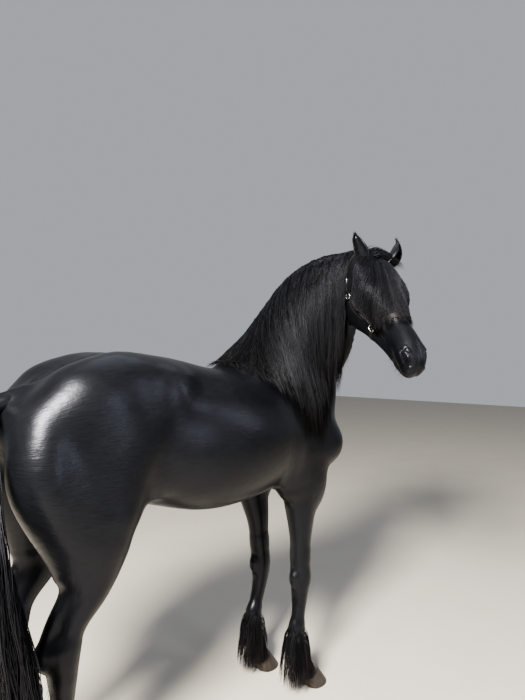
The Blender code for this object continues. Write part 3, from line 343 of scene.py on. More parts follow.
def trunk():
    return [
        tube([
            (-0.69, 0, 1.395, .120, .080, .120, 0, 2.0),
            (-0.64, 0, 1.395, .190, .125, .190, 0, 2.0),
            (-0.56, 0, 1.395, .235, .180, .240, 0, 2.0),
            (-0.42, 0, 1.390, .268, .242, .300, 0, 2.0),
            (-0.22, 0, 1.370, .282, .250, .270, 0, 2.05),
            (0.00, 0, 1.310, .298, .262, .305, 0, 2.05),
            (0.18, 0, 1.280, .310, .285, .300, 0, 1.9),
            (0.34, 0, 1.270, .295, .365, .295, 0, 1.75),
            (0.46, 0, 1.280, .255, .365, .295, 0, 1.65),
            (0.58, 0, 1.290, .230, .300, .280, 0, 1.8),
            (0.70, 0, 1.240, .185, .210, .210, 0, 2.0),
        ], blend=.03, parts=4, square=2.2),
        # long muscles of loin and croup, either side of the spine
        tube([
            (-0.64, .085, 1.415, .085, .075, .12),
            (-0.44, .115, 1.520, .120, .110, .15),
            (-0.24, .120, 1.525, .110, .090, .12),
            (0.02, .090, 1.480, .075, .075, .10),
            (0.20, .070, 1.470, .050, .060, .09),
        ], blend=.06, both=True),
        # point of the hip, arch of the ribs, belly, brisket and root of the tail
        ball((-0.225, .215, 1.480), (.050, .040, .055), .10, both=True),
        ball((0.05, .15, 1.240), (.370, .166, .225), .12, both=True),
        ball((0.00, 0, 1.145), (.400, .200, .130), .10),
        ball((0.66, 0, 1.080), (.120, .120, .110), .08),
        tube([(-.64, 0, 1.490, .05, .045, .06), (-.725, 0, 1.475, .045, .040, .05)], blend=.06),
    ]


def limb(side, stations, blend):
    """A tube given for the left side, laid on the side whose sign is given."""
    return tube([(x, y * side, *rest) for x, y, *rest in stations], blend)


def hindquarter(foot):
    hx, hy, fetlock, sole, sy = FEET[foot]
    side = math.copysign(1, hy)
    hy, sy = abs(hy), abs(sy)
    return [
        # buttock and hamstring
        limb(side, [
            (-.57, .120, 1.48, .100, .11, .11),
            (-.66, .130, 1.375, .115, .14, .115),
            (-.685, .145, 1.23, .125, .15, .12),
            (mix(-.62, hx, .12), .158, 1.07, .108, .12, .115),
            (mix(-.58, hx, .30), .165, 0.93, .065, .075, .075),
        ], .07),
        # thigh, stifle and the fold of the flank
        limb(side, [
            (-.460, .165, 1.44, .115, .20, .20),
            (-.440, .180, 1.28, .115, .15, .22),
            (-.465, .180, 1.13, .115, .095, .19),
            (-.505, .178, 1.02, .100, .080, .14),
        ], .07),
        ball((-.42, .195 * side, 1.12), (.055, .055, .08), .06),
        limb(side, [
            (-.32, .190, 1.16, .030, .05, .05),
            (-.24, .205, 1.22, .025, .04, .04),
            (-.14, .220, 1.24, .030, .04, .04),
        ], .09),
        # gaskin
        limb(side, [
            (-.485, .182, 1.07, .105, .085, .12),
            (mix(-.47, hx, .20), .178, 0.96, .092, .082, .115),
            (mix(-.44, hx, .50), .173, 0.85, .068, .066, .085),
            (mix(-.45, hx, .78), .166, 0.75, .050, .050, .055),
            (hx + .010, hy, HOCK + .01, .044, .048, .045),
        ], .04),
        # tendon to the point of the hock, and that point
        limb(side, [
            (mix(-.45, hx, .50), .172, 0.94, .030, .030, .030),
            (mix(-.50, hx - .05, .80), .165, 0.80, .019, .020, .020),
            (hx - .055, hy, HOCK + .045, .022, .026, .026),
        ], .035),
        ball((hx - .05, hy * side, HOCK + .02), (.032, .026, .042), .03),
        # hock and cannon
        limb(side, [
            (hx + .012, hy, HOCK + .03, .050, .052, .058),
            (hx + .010, hy, HOCK - .05, .050, .050, .052),
            (hx + .012, hy - .002, HOCK - .13, .038, .038, .043),
            (mix(hx + .01, fetlock, .5), hy - .003, HOCK - .24, .031, .032, .039),
            (fetlock + .002, sy, FETLOCK + .085, .031, .032, .041),
        ], .03),
    ] + pastern(fetlock, sole - CROWN_BACK, sy * side)


def forequarter(foot):
    kx, ky, fetlock, sole, sy = FEET[foot]
    side = math.copysign(1, ky)
    ky, sy = abs(ky), abs(sy)
    return [
        # shoulder blade and point of the shoulder
        limb(side, [
            (.36, .100, 1.55, .055, .10, .11),
            (.47, .145, 1.42, .075, .12, .13),
            (.61, .175, 1.28, .085, .11, .13),
            (.69, .180, 1.18, .080, .09, .11),
        ], .07),
        ball((.700, .175 * side, 1.180), (.085, .078, .100), .07),
        # triceps
        limb(side, [
            (.36, .190, 1.340, .060, .09, .09),
            (.40, .200, 1.210, .075, .12, .11),
            (.43, .192, 1.080, .067, .10, .095),
            (.445, .180, 1.005, .052, .07, .07),
        ], .05),
        # breast muscle and the upper forearm
        ball((.715, .085 * side, 1.120), (.095, .095, .150), .06),
        ball((.612, .172 * side, 1.000), (.075, .062, .130), .05),
        limb(side, [
            (.56, .170, 1.14, .090, .14, .15),
            (.54, .168, 1.01, .084, .128, .125),
            (mix(.53, kx, .4), .162, 0.89, .070, .090, .086),
            (mix(.52, kx, .8), ky + .01, 0.77, .055, .063, .061),
            (kx - .002, ky + .003, KNEE + .12, .044, .048, .047),
        ], .05),
        # knee and cannon
        limb(side, [
            (kx - .002, ky + .003, KNEE + .13, .043, .046, .046),
            (kx, ky, KNEE + .05, .052, .052, .050),
            (kx, ky, KNEE, .053, .052, .050),
            (kx - .003, ky - .002, KNEE - .06, .043, .040, .045),
            (mix(kx, fetlock, .4), ky - .003, KNEE - .14, .033, .032, .040),
            (fetlock + .002, sy, FETLOCK + .085, .031, .032, .042),
        ], .03),
        ball((kx - .045, ky * side, KNEE + .015), (.024, .022, .034), .03),
    ] + pastern(fetlock, sole - CROWN_BACK, sy * side)


def pastern(fetlock, crown, y):
    """Fetlock joint, the ergot's swelling behind it, and the pastern down past the coronet."""
    return [
        tube([
            (fetlock + .002, y, FETLOCK + .090, .031, .032, .042),
            (fetlock, y, FETLOCK, .043, .042, .052),
            (mix(fetlock, crown, .45), y, mix(FETLOCK, CORONET, .45), .038, .037, .041),
            (mix(fetlock, crown, .80), y, mix(FETLOCK, CORONET, .80), .045, .045, .045),
            (crown, y, CORONET, .053, .052, .052),
            (crown + .015, y, CORONET - .03, .057, .056, .056),
        ], blend=.03),
        ball((fetlock - .035, y, FETLOCK - .02), (.026, .030, .030), .03),
    ]


NECK_LINE = [
    (.400, 0.000, 1.41, .165, .235, .260, 0),
    (.540, -0.010, 1.54, .155, .240, .310, -6),
    (.650, -0.050, 1.68, .132, .236, .295, -22),
    (.732, -0.127, 1.82, .100, .234, .240, -44),
    (.786, -0.229, 1.92, .076, .212, .165, -68),
    (.797, -0.321, 1.985, .070, .166, .120, -92),
    (.782, -0.375, 2.015, .066, .110, .105, -106),
]


def neck():
    return [
        tube(NECK_LINE, blend=.07, parts=4),
        # windpipe and the muscle in front of the shoulder
        ball((.715, -.105, 1.43), (.105, .120, .170), .08),
    ]


def skull():
    f = HEAD
    return [
        tube([
            (0.00, 0, -.070, .068, .066, .085, 0, 2.0),
            (0.07, 0, -.080, .080, .095, .085, 0, 2.1),
            (0.14, 0, -.085, .088, .110, .085, 0, 2.3),
            (0.21, 0, -.085, .089, .110, .085, 0, 2.5),
            (0.29, 0, -.080, .077, .096, .080, 0, 2.4),
            (0.375, 0, -.078, .060, .083, .066, 0, 2.3),
            (0.46, 0, -.080, .050, .073, .056, 0, 2.3),
            (0.535, 0, -.084, .047, .066, .050, 0, 2.1),
            (0.580, 0, -.088, .042, .056, .045, 0, 2.0),
        ], blend=.03, frame=f, parts=3, square=2.1),
        # lower jaw and its round muscle
        tube([
            (0.075, .062, -.130, .026, .060, .060),
            (0.130, .066, -.165, .030, .070, .082),
            (0.200, .062, -.170, .030, .070, .086),
            (0.285, .048, -.165, .025, .060, .060),
            (0.370, .034, -.158, .022, .050, .038),
            (0.455, .024, -.148, .020, .035, .026),
            (0.540, .016, -.140, .022, .030, .022),
        ], blend=.035, frame=f, both=True, parts=3),
        ball((.165, .058, -.150), (.110, .038, .100), .04, frame=f, both=True),
        # brow over the eye, the eye's swelling and the ridge of the cheek
        ball((.203, .078, -.012), (.052, .027, .030), .035, frame=f, both=True),
        ball((.222, .080, -.044), (.045, .025, .032), .03, frame=f, both=True),
        tube([
            (.24, .086, -.068, .014, .012, .012),
            (.31, .072, -.078, .011, .011, .011),
            (.38, .056, -.086, .008, .008, .008),
        ], blend=.03, frame=f, both=True),
        # hollow of the temple behind the brow
        ball((.115, .070, .018), (.040, .018, .020), .04, carve=True, frame=f, both=True),
    ]


def muzzle():
    f = HEAD
    return [
        # nose, wings of the nostrils, upper lip, lower lip and chin
        ball((.560, 0, -.078), (.072, .054, .060), .035, frame=f),
        ball((.553, .040, -.062), (.044, .023, .036), .025, frame=f, both=True),
        ball((.603, 0, -.098), (.034, .043, .036), .03, frame=f),
        ball((.580, 0, -.136), (.044, .035, .022), .014, frame=f),
        ball((.553, 0, -.146), (.032, .028, .020), .02, frame=f),
    ]


LEGS = sum([(hindquarter if foot.startswith("hind") else forequarter)(foot) for foot in FEET], [])
HEAD_FLESH = skull() + muzzle()
FLESH = trunk() + LEGS + neck() + HEAD_FLESH

near_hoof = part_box("hoof_fore_right")
near_sole = FEET["fore_right"][3:]
HOME = np.array([near_hoof[1][0] - (near_sole[0] + HOOF_REACH),
                 (near_hoof[0][1] + near_hoof[1][1]) / 2 - near_sole[1], 0])


def rod(points, blend, carve=False):
    """A thin round tube through rows of x, y, z and radius, on both sides of the head."""
    return tube([(x, y, z, r, r, r) for x, y, z, r in points], blend, carve, HEAD, both=True)


def eyelids():
    """Hollow of the eye, upper and lower lid, the fold above them and the tear trough below."""
    x, y, z = EYE_AT
    inner_corner = (x + .030, y + .001, z - .015, .003)
    return [
        ball((x + .001, y + .030, z - .001), (.0205, .016, .0108), .006, carve=True, frame=HEAD, both=True),
        rod([inner_corner, (x + .012, y + .0185, z + .009, .004), (x - .008, y + .0195, z + .0145, .0045),
             (x - .028, y + .008, z + .006, .003)], .007),
        rod([inner_corner, (x + .008, y + .0175, z - .0175, .003), (x - .012, y + .0165, z - .012, .003),
             (x - .028, y + .008, z + .004, .003)], .007),
        rod([(x + .022, y + .012, z + .018, .003), (x - .004, y + .012, z + .028, .003),
             (x - .032, y + .000, z + .020, .003)], .006, carve=True),
        rod([(x + .034, y - .002, z - .018, .003), (x + .060, y - .006, z - .030, .003),
             (x + .085, y - .014, z - .040, .002)], .008, carve=True),
    ]


def nostrils_and_lips():
    both = dict(frame=HEAD, both=True)
    return [
        # the fill between nose and face, the raised wing, the comma-shaped opening, the line between
        # the lips, the folds of the chin and the groove down the upper lip
        ball((.500, 0, -.055), (.075, .046, .052), .050, frame=HEAD),
        rod([(.548, .050, -.026, .008), (.592, .043, -.030, .009), (.622, .034, -.056, .009),
             (.616, .040, -.092, .007)], .012),
        tube([(.558, .062, -.041, .009, .007, .007), (.586, .056, -.045, .016, .012, .012),
              (.604, .051, -.064, .015, .0115, .0115), (.600, .055, -.087, .009, .007, .007)],
             blend=.008, carve=True, **both),
        tube([(.645, .000, -.121, .006, .0035, .0035), (.618, .030, -.122, .006, .0035, .0035),
              (.585, .046, -.121, .007, .0035, .0035), (.535, .052, -.119, .007, .0032, .0032),
              (.488, .050, -.117, .005, .0026, .0026)], blend=.006, carve=True, **both),
        rod([(.520, .034, -.160, .003), (.560, .028, -.168, .004), (.585, .000, -.162, .004)], .012,
            carve=True),
        tube([(.640, .000, -.060, .003, .004, .004), (.646, .000, -.090, .003, .004, .004),
              (.636, .000, -.115, .003, .004, .004)], blend=.012, carve=True, **both),
    ]


def veins():
    """The vein that forks on the cheek, raised under the thin skin of the face."""
    return [
        rod([(.262, .088, -.098, .0025), (.318, .071, -.108, .003), (.372, .055, -.118, .0028),
             (.420, .047, -.124, .002)], .010),
        rod([(.322, .070, -.108, .002), (.360, .062, -.090, .0026), (.420, .052, -.078, .002)], .009),
    ]


def body_lines():
    """The shallow lines down the breast and along the back."""
    return [
        tube([(.815, 0, 1.230, .008, .012, .012), (.822, 0, 1.120, .008, .014, .014),
              (.790, 0, 1.020, .008, .012, .012)], blend=.035, carve=True),
        tube([(-.66, 0, 1.545, .008, .010, .010), (-.45, 0, 1.640, .008, .012, .012),
              (-.20, 0, 1.640, .006, .009, .009)], blend=.030, carve=True),
    ]


DETAIL = FLESH + body_lines() + eyelids() + nostrils_and_lips() + veins()
COAT_DEPTH = 0.0015     # the hide lies this far inside the flesh, and the coat fills it
NET = 0.0112            # the spacing of the hide's points over the body
HIDE_BOX = ((-.97, -.80, .045), (1.02, .37, 2.23))      # the whole horse, down to inside the hooves
HIDE_EDGE = 0.058       # the open edge in each hoof lies below this height
NOSTRIL = (.598, .050, -.062)
NOSTRIL_SOFT = 0.050    # how far round the nostril the skin is drawn even
NOSTRIL_ROUNDS = 11
# middles and reaches of the finest net: eye, nostril, front and corner of the lips
FINE_SPOTS = (((.216, .100, -.036), .045), (NOSTRIL, .055), ((.600, .030, -.120), .050),
              ((.530, .045, -.120), .050))


def hide_net():
    """An even net over the body, halved over the head and again at the eyes, nostrils and lips. Every
    point is then moved on to the skin, and the soft skin of the nostrils is drawn even."""
    points, faces = surface(FLESH, *HIDE_BOX, NET)
    bm = bmesh.new()
    mesh = bpy.data.meshes.new("net")
    mesh.from_pydata(points.tolist(), [], faces.tolist())
    bm.from_mesh(mesh)
    # first the whole head, which fills these bounds of its frame, and then the fine spots
    for level in (1, 2):
        spots = HEAD.local([(e.verts[0].co + e.verts[1].co) / 2 for e in bm.edges])
        spots[:, 1] = np.abs(spots[:, 1])
        if level == 1:
            near = (spots[:, 0] > -.03) & (spots[:, 2] > -.27) & (spots[:, 1] < .13)
        else:
            near = np.zeros(len(spots), bool)
            for middle, reach in FINE_SPOTS:
                near |= np.linalg.norm(spots - middle, axis=1) < reach
        chosen = [e for e, close in zip(bm.edges, near) if close]
        bmesh.ops.subdivide_edges(bm, edges=chosen, cuts=1, use_grid_fill=True)
    bmesh.ops.triangulate(bm, faces=[f for f in bm.faces if len(f.verts) > 4])
    rim = [e for e in bm.edges if e.is_boundary]
    bmesh.ops.holes_fill(bm, edges=rim, sides=0)
    bmesh.ops.recalc_face_normals(bm, faces=bm.faces[:])
    points = np.array([v.co for v in bm.verts])
    rim = points[:, 2] < HIDE_EDGE
    held = settle(FLESH, points[rim], 2, -COAT_DEPTH)
    held[:, 2] = points[rim, 2]
    points = settle(DETAIL, points, 6, -COAT_DEPTH)
    points[rim] = held
    for v, p in zip(bm.verts, points):
        v.co = p
    spots = HEAD.local(points)
    spots[:, 1] = np.abs(spots[:, 1])
    soft = np.linalg.norm(spots - NOSTRIL, axis=1) < NOSTRIL_SOFT
    soft = [v for v, near in zip(bm.verts, soft) if near]
    for _ in range(NOSTRIL_ROUNDS):
        bmesh.ops.smooth_vert(bm, verts=soft, factor=.5, use_axis_x=True, use_axis_y=True, use_axis_z=True)
    points = np.array([v.co for v in bm.verts])
    bm.verts.index_update()
    faces = [[v.index for v in f.verts] for f in bm.faces]
    bm.free()
    bpy.data.meshes.remove(mesh)
    return points, faces


NECK_CUT = (np.array([.34, 0, 1.655]), unit(np.array([.41, 0, .47])))   # where the neck's tile begins
ELBOW = 0.93            # height of the legs' tiles
TRUNK_AXIS = 1.30       # height of the line that the trunk's tile runs round
TRUNK_REAR, TRUNK_LONG = -0.97, 2.0
HEAD_AXIS = -0.085      # the same line's place in the head's frame
HEAD_TOP, HEAD_LONG = -0.05, 0.75
neck_mid, neck_size, _, _, neck_side, neck_plus = follow(NECK_LINE, 12)


def neck_place(p):
    """The nearest point of the neck's line to each point."""
    return np.array([np.argmin(((neck_mid - q) ** 2).sum(1)) for q in p])


def skin_place(p):
    """The tile of the unwrap that each point of the skin lies in, how far round it in turns, and how
    far along it from 0 to 1. Tiles 0 to 2 are trunk, neck and head, and then there is one for each leg."""
    tile = np.zeros(len(p), int)
    round_it = np.arctan2(p[:, 1], p[:, 2] - TRUNK_AXIS)
    along = (p[:, 0] - TRUNK_REAR) / TRUNK_LONG
    near = neck_place(p)
    q = p - neck_mid[near]
    on_neck = (p - NECK_CUT[0]) @ NECK_CUT[1] > 0
    tile[on_neck] = 1
    angle = np.arctan2((q * neck_side[near]).sum(1), (q * neck_plus[near]).sum(1))
    round_it[on_neck] = angle[on_neck]
    along[on_neck] = near[on_neck] / len(neck_mid)
    h = HEAD.local(p)
    on_head = (h[:, 0] > -.04) & (h[:, 2] > -.29) & (np.abs(h[:, 1]) < .135)
    tile[on_head] = 2
    round_it[on_head] = np.arctan2(h[on_head, 1], h[on_head, 2] - HEAD_AXIS)
    along[on_head] = (h[on_head, 0] - HEAD_TOP) / HEAD_LONG
    for number, foot in enumerate(FEET):
        kx, ky, fetlock, sole, sy = FEET[foot]
        hind = foot.startswith("hind")
        mine = (p[:, 2] < ELBOW) & (np.sign(p[:, 1]) == np.sign(ky)) & ((p[:, 0] < 0) == hind) & ~on_head
        heights = [0, FETLOCK, HOCK if hind else KNEE, ELBOW]
        cx = np.interp(p[mine, 2], heights, [sole, fetlock, kx, -.55 if hind else .53])
        cy = np.interp(p[mine, 2], heights, [sy, sy, ky, ky])
        tile[mine] = 3 + number
        round_it[mine] = np.arctan2(p[mine, 1] - cy, p[mine, 0] - cx)
        along[mine] = p[mine, 2] / ELBOW
    return tile, round_it / (2 * math.pi), np.clip(along, 0, 1)


# each tile's corner, width and height in the unwrap, and its real girth and length in metres
TILES = np.array([(.01, .01, .48, .48), (.51, .01, .23, .48), (.76, .01, .23, .48), (.01, .51, .23, .48),
                  (.26, .51, .23, .48), (.51, .51, .23, .48), (.76, .51, .23, .48)])
TILE_SIZES = np.array([(1.7, TRUNK_LONG), (.9, 1.0), (.6, HEAD_LONG)] + [(.32, ELBOW)] * 4)


def unwrap(mesh, points, faces):
    """Lays each face on the tile of its middle, in the unwrap and in real metres along the lie."""
    count = np.array([len(f) for f in faces])
    loops = np.concatenate([np.array(f) for f in faces])
    owner = np.repeat(np.arange(len(faces)), count)
    middle = np.zeros((len(faces), 3))
    np.add.at(middle, owner, points[loops])
    middle /= count[:, None]
    tile, turn, _ = skin_place(middle)
    uv = np.zeros((len(loops), 2))
    real = np.zeros((len(loops), 2))
    for number in range(len(TILES)):
        mine = tile[owner] == number
        if not mine.any():
            continue
        uv[mine], real[mine] = on_tile(points[loops[mine]], number, turn[owner[mine]])
    for name, values in (("OFBake", uv), ("Lie", real)):
        layer = mesh.uv_layers.new(name=name)
        layer.data.foreach_set("uv", values.astype(np.float32).ravel())
    mesh.uv_layers.active = mesh.uv_layers["OFBake"]
    mesh.uv_layers["OFBake"].active_render = True


def on_tile(p, number, near_turn):
    """Both unwraps of points that belong to a tile, on the side of its seam where near_turn is."""
    tile, turn, along = skin_place(p)
    other = tile != number
    turn[other] = near_turn[other]
    turn = near_turn + (turn - near_turn + .5) % 1 - .5
    if other.any():
        # a point just past the tile's border keeps the border's place
        along[other] = edge_along(p[other], number)
    x, y, w, h = TILES[number]
    girth, length = TILE_SIZES[number]
    uv = np.stack([x + w * np.clip(turn + .5, 0, 1), y + h * along], 1)
    return uv, np.stack([turn * girth, along * length], 1)


def edge_along(p, number):
    """How far along one tile each point lies."""
    if number == 0:
        return np.clip((p[:, 0] - TRUNK_REAR) / TRUNK_LONG, 0, 1)
    if number == 1:
        return neck_place(p) / len(neck_mid)
    if number == 2:
        return np.clip((HEAD.local(p)[:, 0] - HEAD_TOP) / HEAD_LONG, 0, 1)
    return np.clip(p[:, 2] / ELBOW, 0, 1)


def colour(code):
    """A colour given as sRGB hex, in linear light."""
    parts = [int(code[i : i + 2], 16) / 255 for i in (1, 3, 5)]
    linear = [c / 12.92 if c <= .04045 else ((c + .055) / 1.055) ** 2.4 for c in parts]
    return (*linear, 1)


def node(tree, kind, links=None, inputs=None, **settings):
    """Adds a node with its settings, its unlinked inputs, and links as {its input: another's output}."""
    made = tree.nodes.new(kind)
    for key, value in settings.items():
        setattr(made, key, value)
    for key, value in (inputs or {}).items():
        made.inputs[key].default_value = value
    for key, output in (links or {}).items():
        tree.links.new(output, made.inputs[key])
    return made


def material(name, levels):
    """A new material with its shader's levels, its node tree, and that shader."""
    made = bpy.data.materials.new(name)
    made.use_nodes = True
    shader = made.node_tree.nodes["Principled BSDF"]
    for key, value in levels.items():
        shader.inputs[key].default_value = value
    return made, made.node_tree, shader


def ramp(tree, value, *stops):
    """Colours that follow a value, given as pairs of a place from 0 to 1 and an sRGB hex code."""
    made = node(tree, "ShaderNodeValToRGB", {"Fac": value})
    elements = made.color_ramp.elements
    for number, (place, code) in enumerate(stops):
        stop = elements[number] if number < 2 else elements.new(place)
        stop.position, stop.color = place, colour(code)
    return made.outputs["Color"]


def black_coat():
    """Short summer coat, grown and groomed flat: each hair is a smooth dark rod, so the whole has a
    cool satin sheen, broken along the lie. Real hairs are 0.05 mm apart, drawn here as 5 mm locks."""
    made, tree, shader = material("groomed_black_coat", {
        "Roughness": .31, "Specular IOR Level": .12, "Specular Tint": colour("#e6ecff")})
    lie = node(tree, "ShaderNodeUVMap", uv_map="Lie")
    hairs = node(tree, "ShaderNodeMapping", {"Vector": lie.outputs["UV"]}, {"Scale": (210, 20, 1)})
    strands = node(tree, "ShaderNodeTexNoise", {"Vector": hairs.outputs["Vector"]},
                   {"Scale": 1.0, "Detail": 3.0, "Roughness": .6})
    place = node(tree, "ShaderNodeTexCoord")
    broad = node(tree, "ShaderNodeTexNoise", {"Vector": place.outputs["Object"]},
                 {"Scale": 5.0, "Detail": 3.0, "Roughness": .5})
    ripple = node(tree, "ShaderNodeTexNoise", {"Vector": place.outputs["Object"]},
                  {"Scale": 42.0, "Detail": 2.0, "Roughness": .5})
    tone = node(tree, "ShaderNodeMath", {0: strands.outputs["Fac"], 1: broad.outputs["Fac"]},
                operation="MULTIPLY")
    paint = ramp(tree, tone.outputs["Value"], (.12, "#020203"), (.42, "#060709"))
    tree.links.new(paint, shader.inputs["Base Color"])
    fine = node(tree, "ShaderNodeBump", {"Height": strands.outputs["Fac"]},
                {"Strength": .28, "Distance": .002})
    soft = node(tree, "ShaderNodeBump", {"Height": ripple.outputs["Fac"], "Normal": fine.outputs["Normal"]},
                {"Strength": .14, "Distance": .005})
    tree.links.new(soft.outputs["Normal"], shader.inputs["Normal"])
    return made


def shown(name, data):
    """A new object in the scene."""
    made = bpy.data.objects.new(name, data)
    bpy.context.scene.collection.objects.link(made)
    return made


def put(name, points, faces, paint, slot):
    """A smooth piece at its place in the world, which rides on the horse. Its slot is not used."""
    mesh = bpy.data.meshes.new(name)
    mesh.from_pydata((np.asarray(points) + HOME).tolist(), [], [list(f) for f in faces])
    mesh.materials.append(paint)
    mesh.shade_smooth()
    piece = shown(name, mesh)
    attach(piece, "root")
    return piece


COAT = black_coat()
hide_points, hide_faces = hide_net()
skin = put("skin", hide_points, hide_faces, COAT, "coat")
unwrap(skin.data, hide_points, hide_faces)
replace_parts(skin, "torso", "neck", "head", *["leg_" + foot for foot in FEET])
hide = BVHTree.FromPolygons([Vector(p) for p in hide_points], hide_faces)


# The eyes. Dark brown horse's eyes: a clear wet cornea over a broad iris and a level oval pupil. The
# ball sits in the socket, held by its lids.
EYE_RADIUS = 0.0205


def eye_ball(side):
    """A fine ball with its front at the pole, so that the iris and pupil follow its rings. Each point
    also has its place on the iris, which is (1, 1) behind the front half."""
    x, y, z = EYE_AT
    middle = HEAD.world([x, side * y, z])
    front = np.array([.10, side, .06]) @ HEAD.axes
    front = front / np.linalg.norm(front)
    level = unit(np.cross(front, HEAD.axes[2]))
    rise = np.cross(level, front)
    polar = np.radians(np.linspace(0, 180, 25))
    turns = np.arange(36) * 2 * math.pi / 36
    points, faces, shade = [middle + front * EYE_RADIUS * 1.03], [], [(0.0, 0.0)]
    for a in polar[1:-1]:
        bulge = 1 + .03 * max(0, math.cos(a)) ** 6
        for t in turns:
            across = level * math.cos(t) + rise * math.sin(t)
            points.append(middle + (front * math.cos(a) + across * math.sin(a)) * EYE_RADIUS * bulge)
            shade.append((math.sin(a) * math.cos(t), math.sin(a) * math.sin(t)) if a < 1.6 else (1, 1))
    points.append(middle - front * EYE_RADIUS)
    shade.append((1.0, 1.0))
    rows = len(polar) - 2
    for i in range(36):
        j = (i + 1) % 36
        faces.append((0, 1 + i, 1 + j))
        for r in range(rows - 1):
            a, b = 1 + r * 36, 1 + (r + 1) * 36
            faces.append((a + i, b + i, b + j, a + j))
        last = 1 + (rows - 1) * 36
        faces.append((last + i, len(points) - 1, last + j))
    if np.cross(np.array(points[1]) - points[0], np.array(points[2]) - points[0]) @ front < 0:
        faces = [f[::-1] for f in faces]
    return np.array(points), faces, np.array(shade)


def wet_eye():
    """The living eye: a wet clear front gives one hard bright glint over a brown so deep that it
    reads as black, with the level pupil darker still."""
    made, tree, shader = material("wet_brown_eye", {
        "Roughness": .05, "IOR": 1.376, "Coat Weight": .8, "Coat Roughness": .02})
    spot = node(tree, "ShaderNodeAttribute", attribute_name="iris")
    oval = node(tree, "ShaderNodeVectorMath", {0: spot.outputs["Vector"]}, {1: (1.0, 1.9, 0)},
                operation="MULTIPLY")
    reach = node(tree, "ShaderNodeVectorMath", {0: oval.outputs["Vector"]}, operation="LENGTH")
    grain = node(tree, "ShaderNodeTexNoise", {"Vector": spot.outputs["Vector"]},
                 {"Scale": 14.0, "Detail": 3.0})
    sway = node(tree, "ShaderNodeMath", {0: grain.outputs["Fac"]}, {1: .10}, operation="MULTIPLY")
    edge = node(tree, "ShaderNodeMath", {0: reach.outputs["Value"], 1: sway.outputs["Value"]},
                operation="ADD")
    paint = ramp(tree, edge.outputs["Value"], (.50, "#050507"), (.58, "#2a1a10"), (.85, "#1d120b"),
                 (.97, "#0a0807"))
    tree.links.new(paint, shader.inputs["Base Color"])
    return made


EYE_PAINT = wet_eye()
for side, hand in ((1, "left"), (-1, "right")):
    eye_points, eye_faces, iris = eye_ball(side)
    ball_piece = put("eyeball_" + hand, eye_points, eye_faces, EYE_PAINT, "eye")
    layer = ball_piece.data.attributes.new("iris", "FLOAT_VECTOR", "POINT")
    layer.data.foreach_set("vector", np.column_stack([iris, 0 * iris[:, 0]]).astype(np.float32).ravel())
    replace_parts(ball_piece, "eye_" + hand)


# The ears. Upright cups of gristle under thin haired skin, with a filled root that sits in the head.
# Each is a shell rolled round its opening, thin at the rim and drawn in to a point.
def ear_line(side):
    """Base, middle and tip of an ear in the head's frame, pricked and curved in at the tip."""
    lean = .128 if side > 0 else .080
    tall = .80 if side > 0 else 1.0
    return catmull([
        (.058, side * .054, -.020), (.018, side * (lean - .012), .034),
        (.018 - .062 * tall, side * (lean + .012), .034 + .036 * tall),
        (.018 - .106 * tall, side * (lean + .010), .034 + .046 * tall)], 3)


def ear_shell(side, steps=26, across=26):
    """Sections of an ear from its root to its tip: an outer wall round the back and an inner wall
    that leaves the root filled and opens into a cup forward and outward."""
    rough = ear_line(side)
    line = catmull(rough, 4)
    spots = np.linspace(0, len(line) - 1, steps)
    line = np.stack([np.interp(spots, np.arange(len(line)), line[:, k]) for k in range(3)], 1)
    along = unit(np.gradient(line, axis=0))
    open_way = unit(np.array([.55, side * .62, .55]))
    rings = []
    for j, (middle, way) in enumerate(zip(line[:-1], along)):
        u = j / (steps - 1)
        front = unit(open_way - way * (open_way @ way))
        wide = np.cross(way, front)
        w = (.020 + .015 * math.sin(math.pi * min(1, u * 1.25))) * (1 - u**3.2) + .002
        hollow = min(1.0, max(0.0, (u - .10) * 5))
        half = math.radians(128 - 20 * u)
        back = np.linspace(-half, half, across)
        curl = 1 + .06 * np.sin(back * 2) * u
        outer = [wide * w * math.sin(a) * c - front * w * .95 * math.cos(a) for a, c in zip(back, curl)]
        inner = []
        for a in back[::-1][1:-1]:
            cup = .30 + .55 * hollow
            bend = -front * (w * .95 - .003) * math.cos(a) * cup * hollow
            lift = front * w * .37 * (1 - hollow) * max(0, math.cos(a))
            inner.append(wide * (w - .003) * math.sin(a) * .93 + bend + lift)
        rings.append(HEAD.world(middle + np.array(outer + inner)))
    return rings, HEAD.world(line[-1])


def loft(rings, tip=None):
    """Points and faces of a closed skin through rings, flat at its ends or drawn to a tip."""
    n = len(rings[0])
    points = np.vstack(rings)
    faces = []
    for r in range(len(rings) - 1):
        a, b = r * n, (r + 1) * n
        faces += [(a + i, a + (i + 1) % n, b + (i + 1) % n, b + i) for i in range(n)]
    faces.append(tuple(range(n - 1, -1, -1)))
    last = (len(rings) - 1) * n
    if tip is None:
        faces.append(tuple(range(last, last + n)))
    else:
        points = np.vstack([points, tip])
        faces += [(last + i, last + (i + 1) % n, len(points) - 1) for i in range(n)]
    return points, faces


def outward(piece):
    """Turns a closed piece's faces outward."""
    bm = bmesh.new()
    bm.from_mesh(piece.data)
    bmesh.ops.recalc_face_normals(bm, faces=bm.faces[:])
    bm.to_mesh(piece.data)
    bm.free()


for side, hand in ((1, "left"), (-1, "right")):
    ear_points, ear_faces = loft(*ear_shell(side))
    shell = put("ear_shell_" + hand, ear_points, ear_faces, COAT, "coat")
    unwrap(shell.data, ear_points, ear_faces)
    outward(shell)
    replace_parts(shell, "ear_" + hand)


# The hooves. Grown horn, trimmed level and unshod, wider at the ground than under the coronet, with
# faint growth rings parallel to the coronet, and a heel that opens in two bulbs at the back.
CORONET_REACH = 0.0540      # from the middle of the coronet to its front
CORONET_SLOPE = 0.30        # rise of the coronet towards the toe


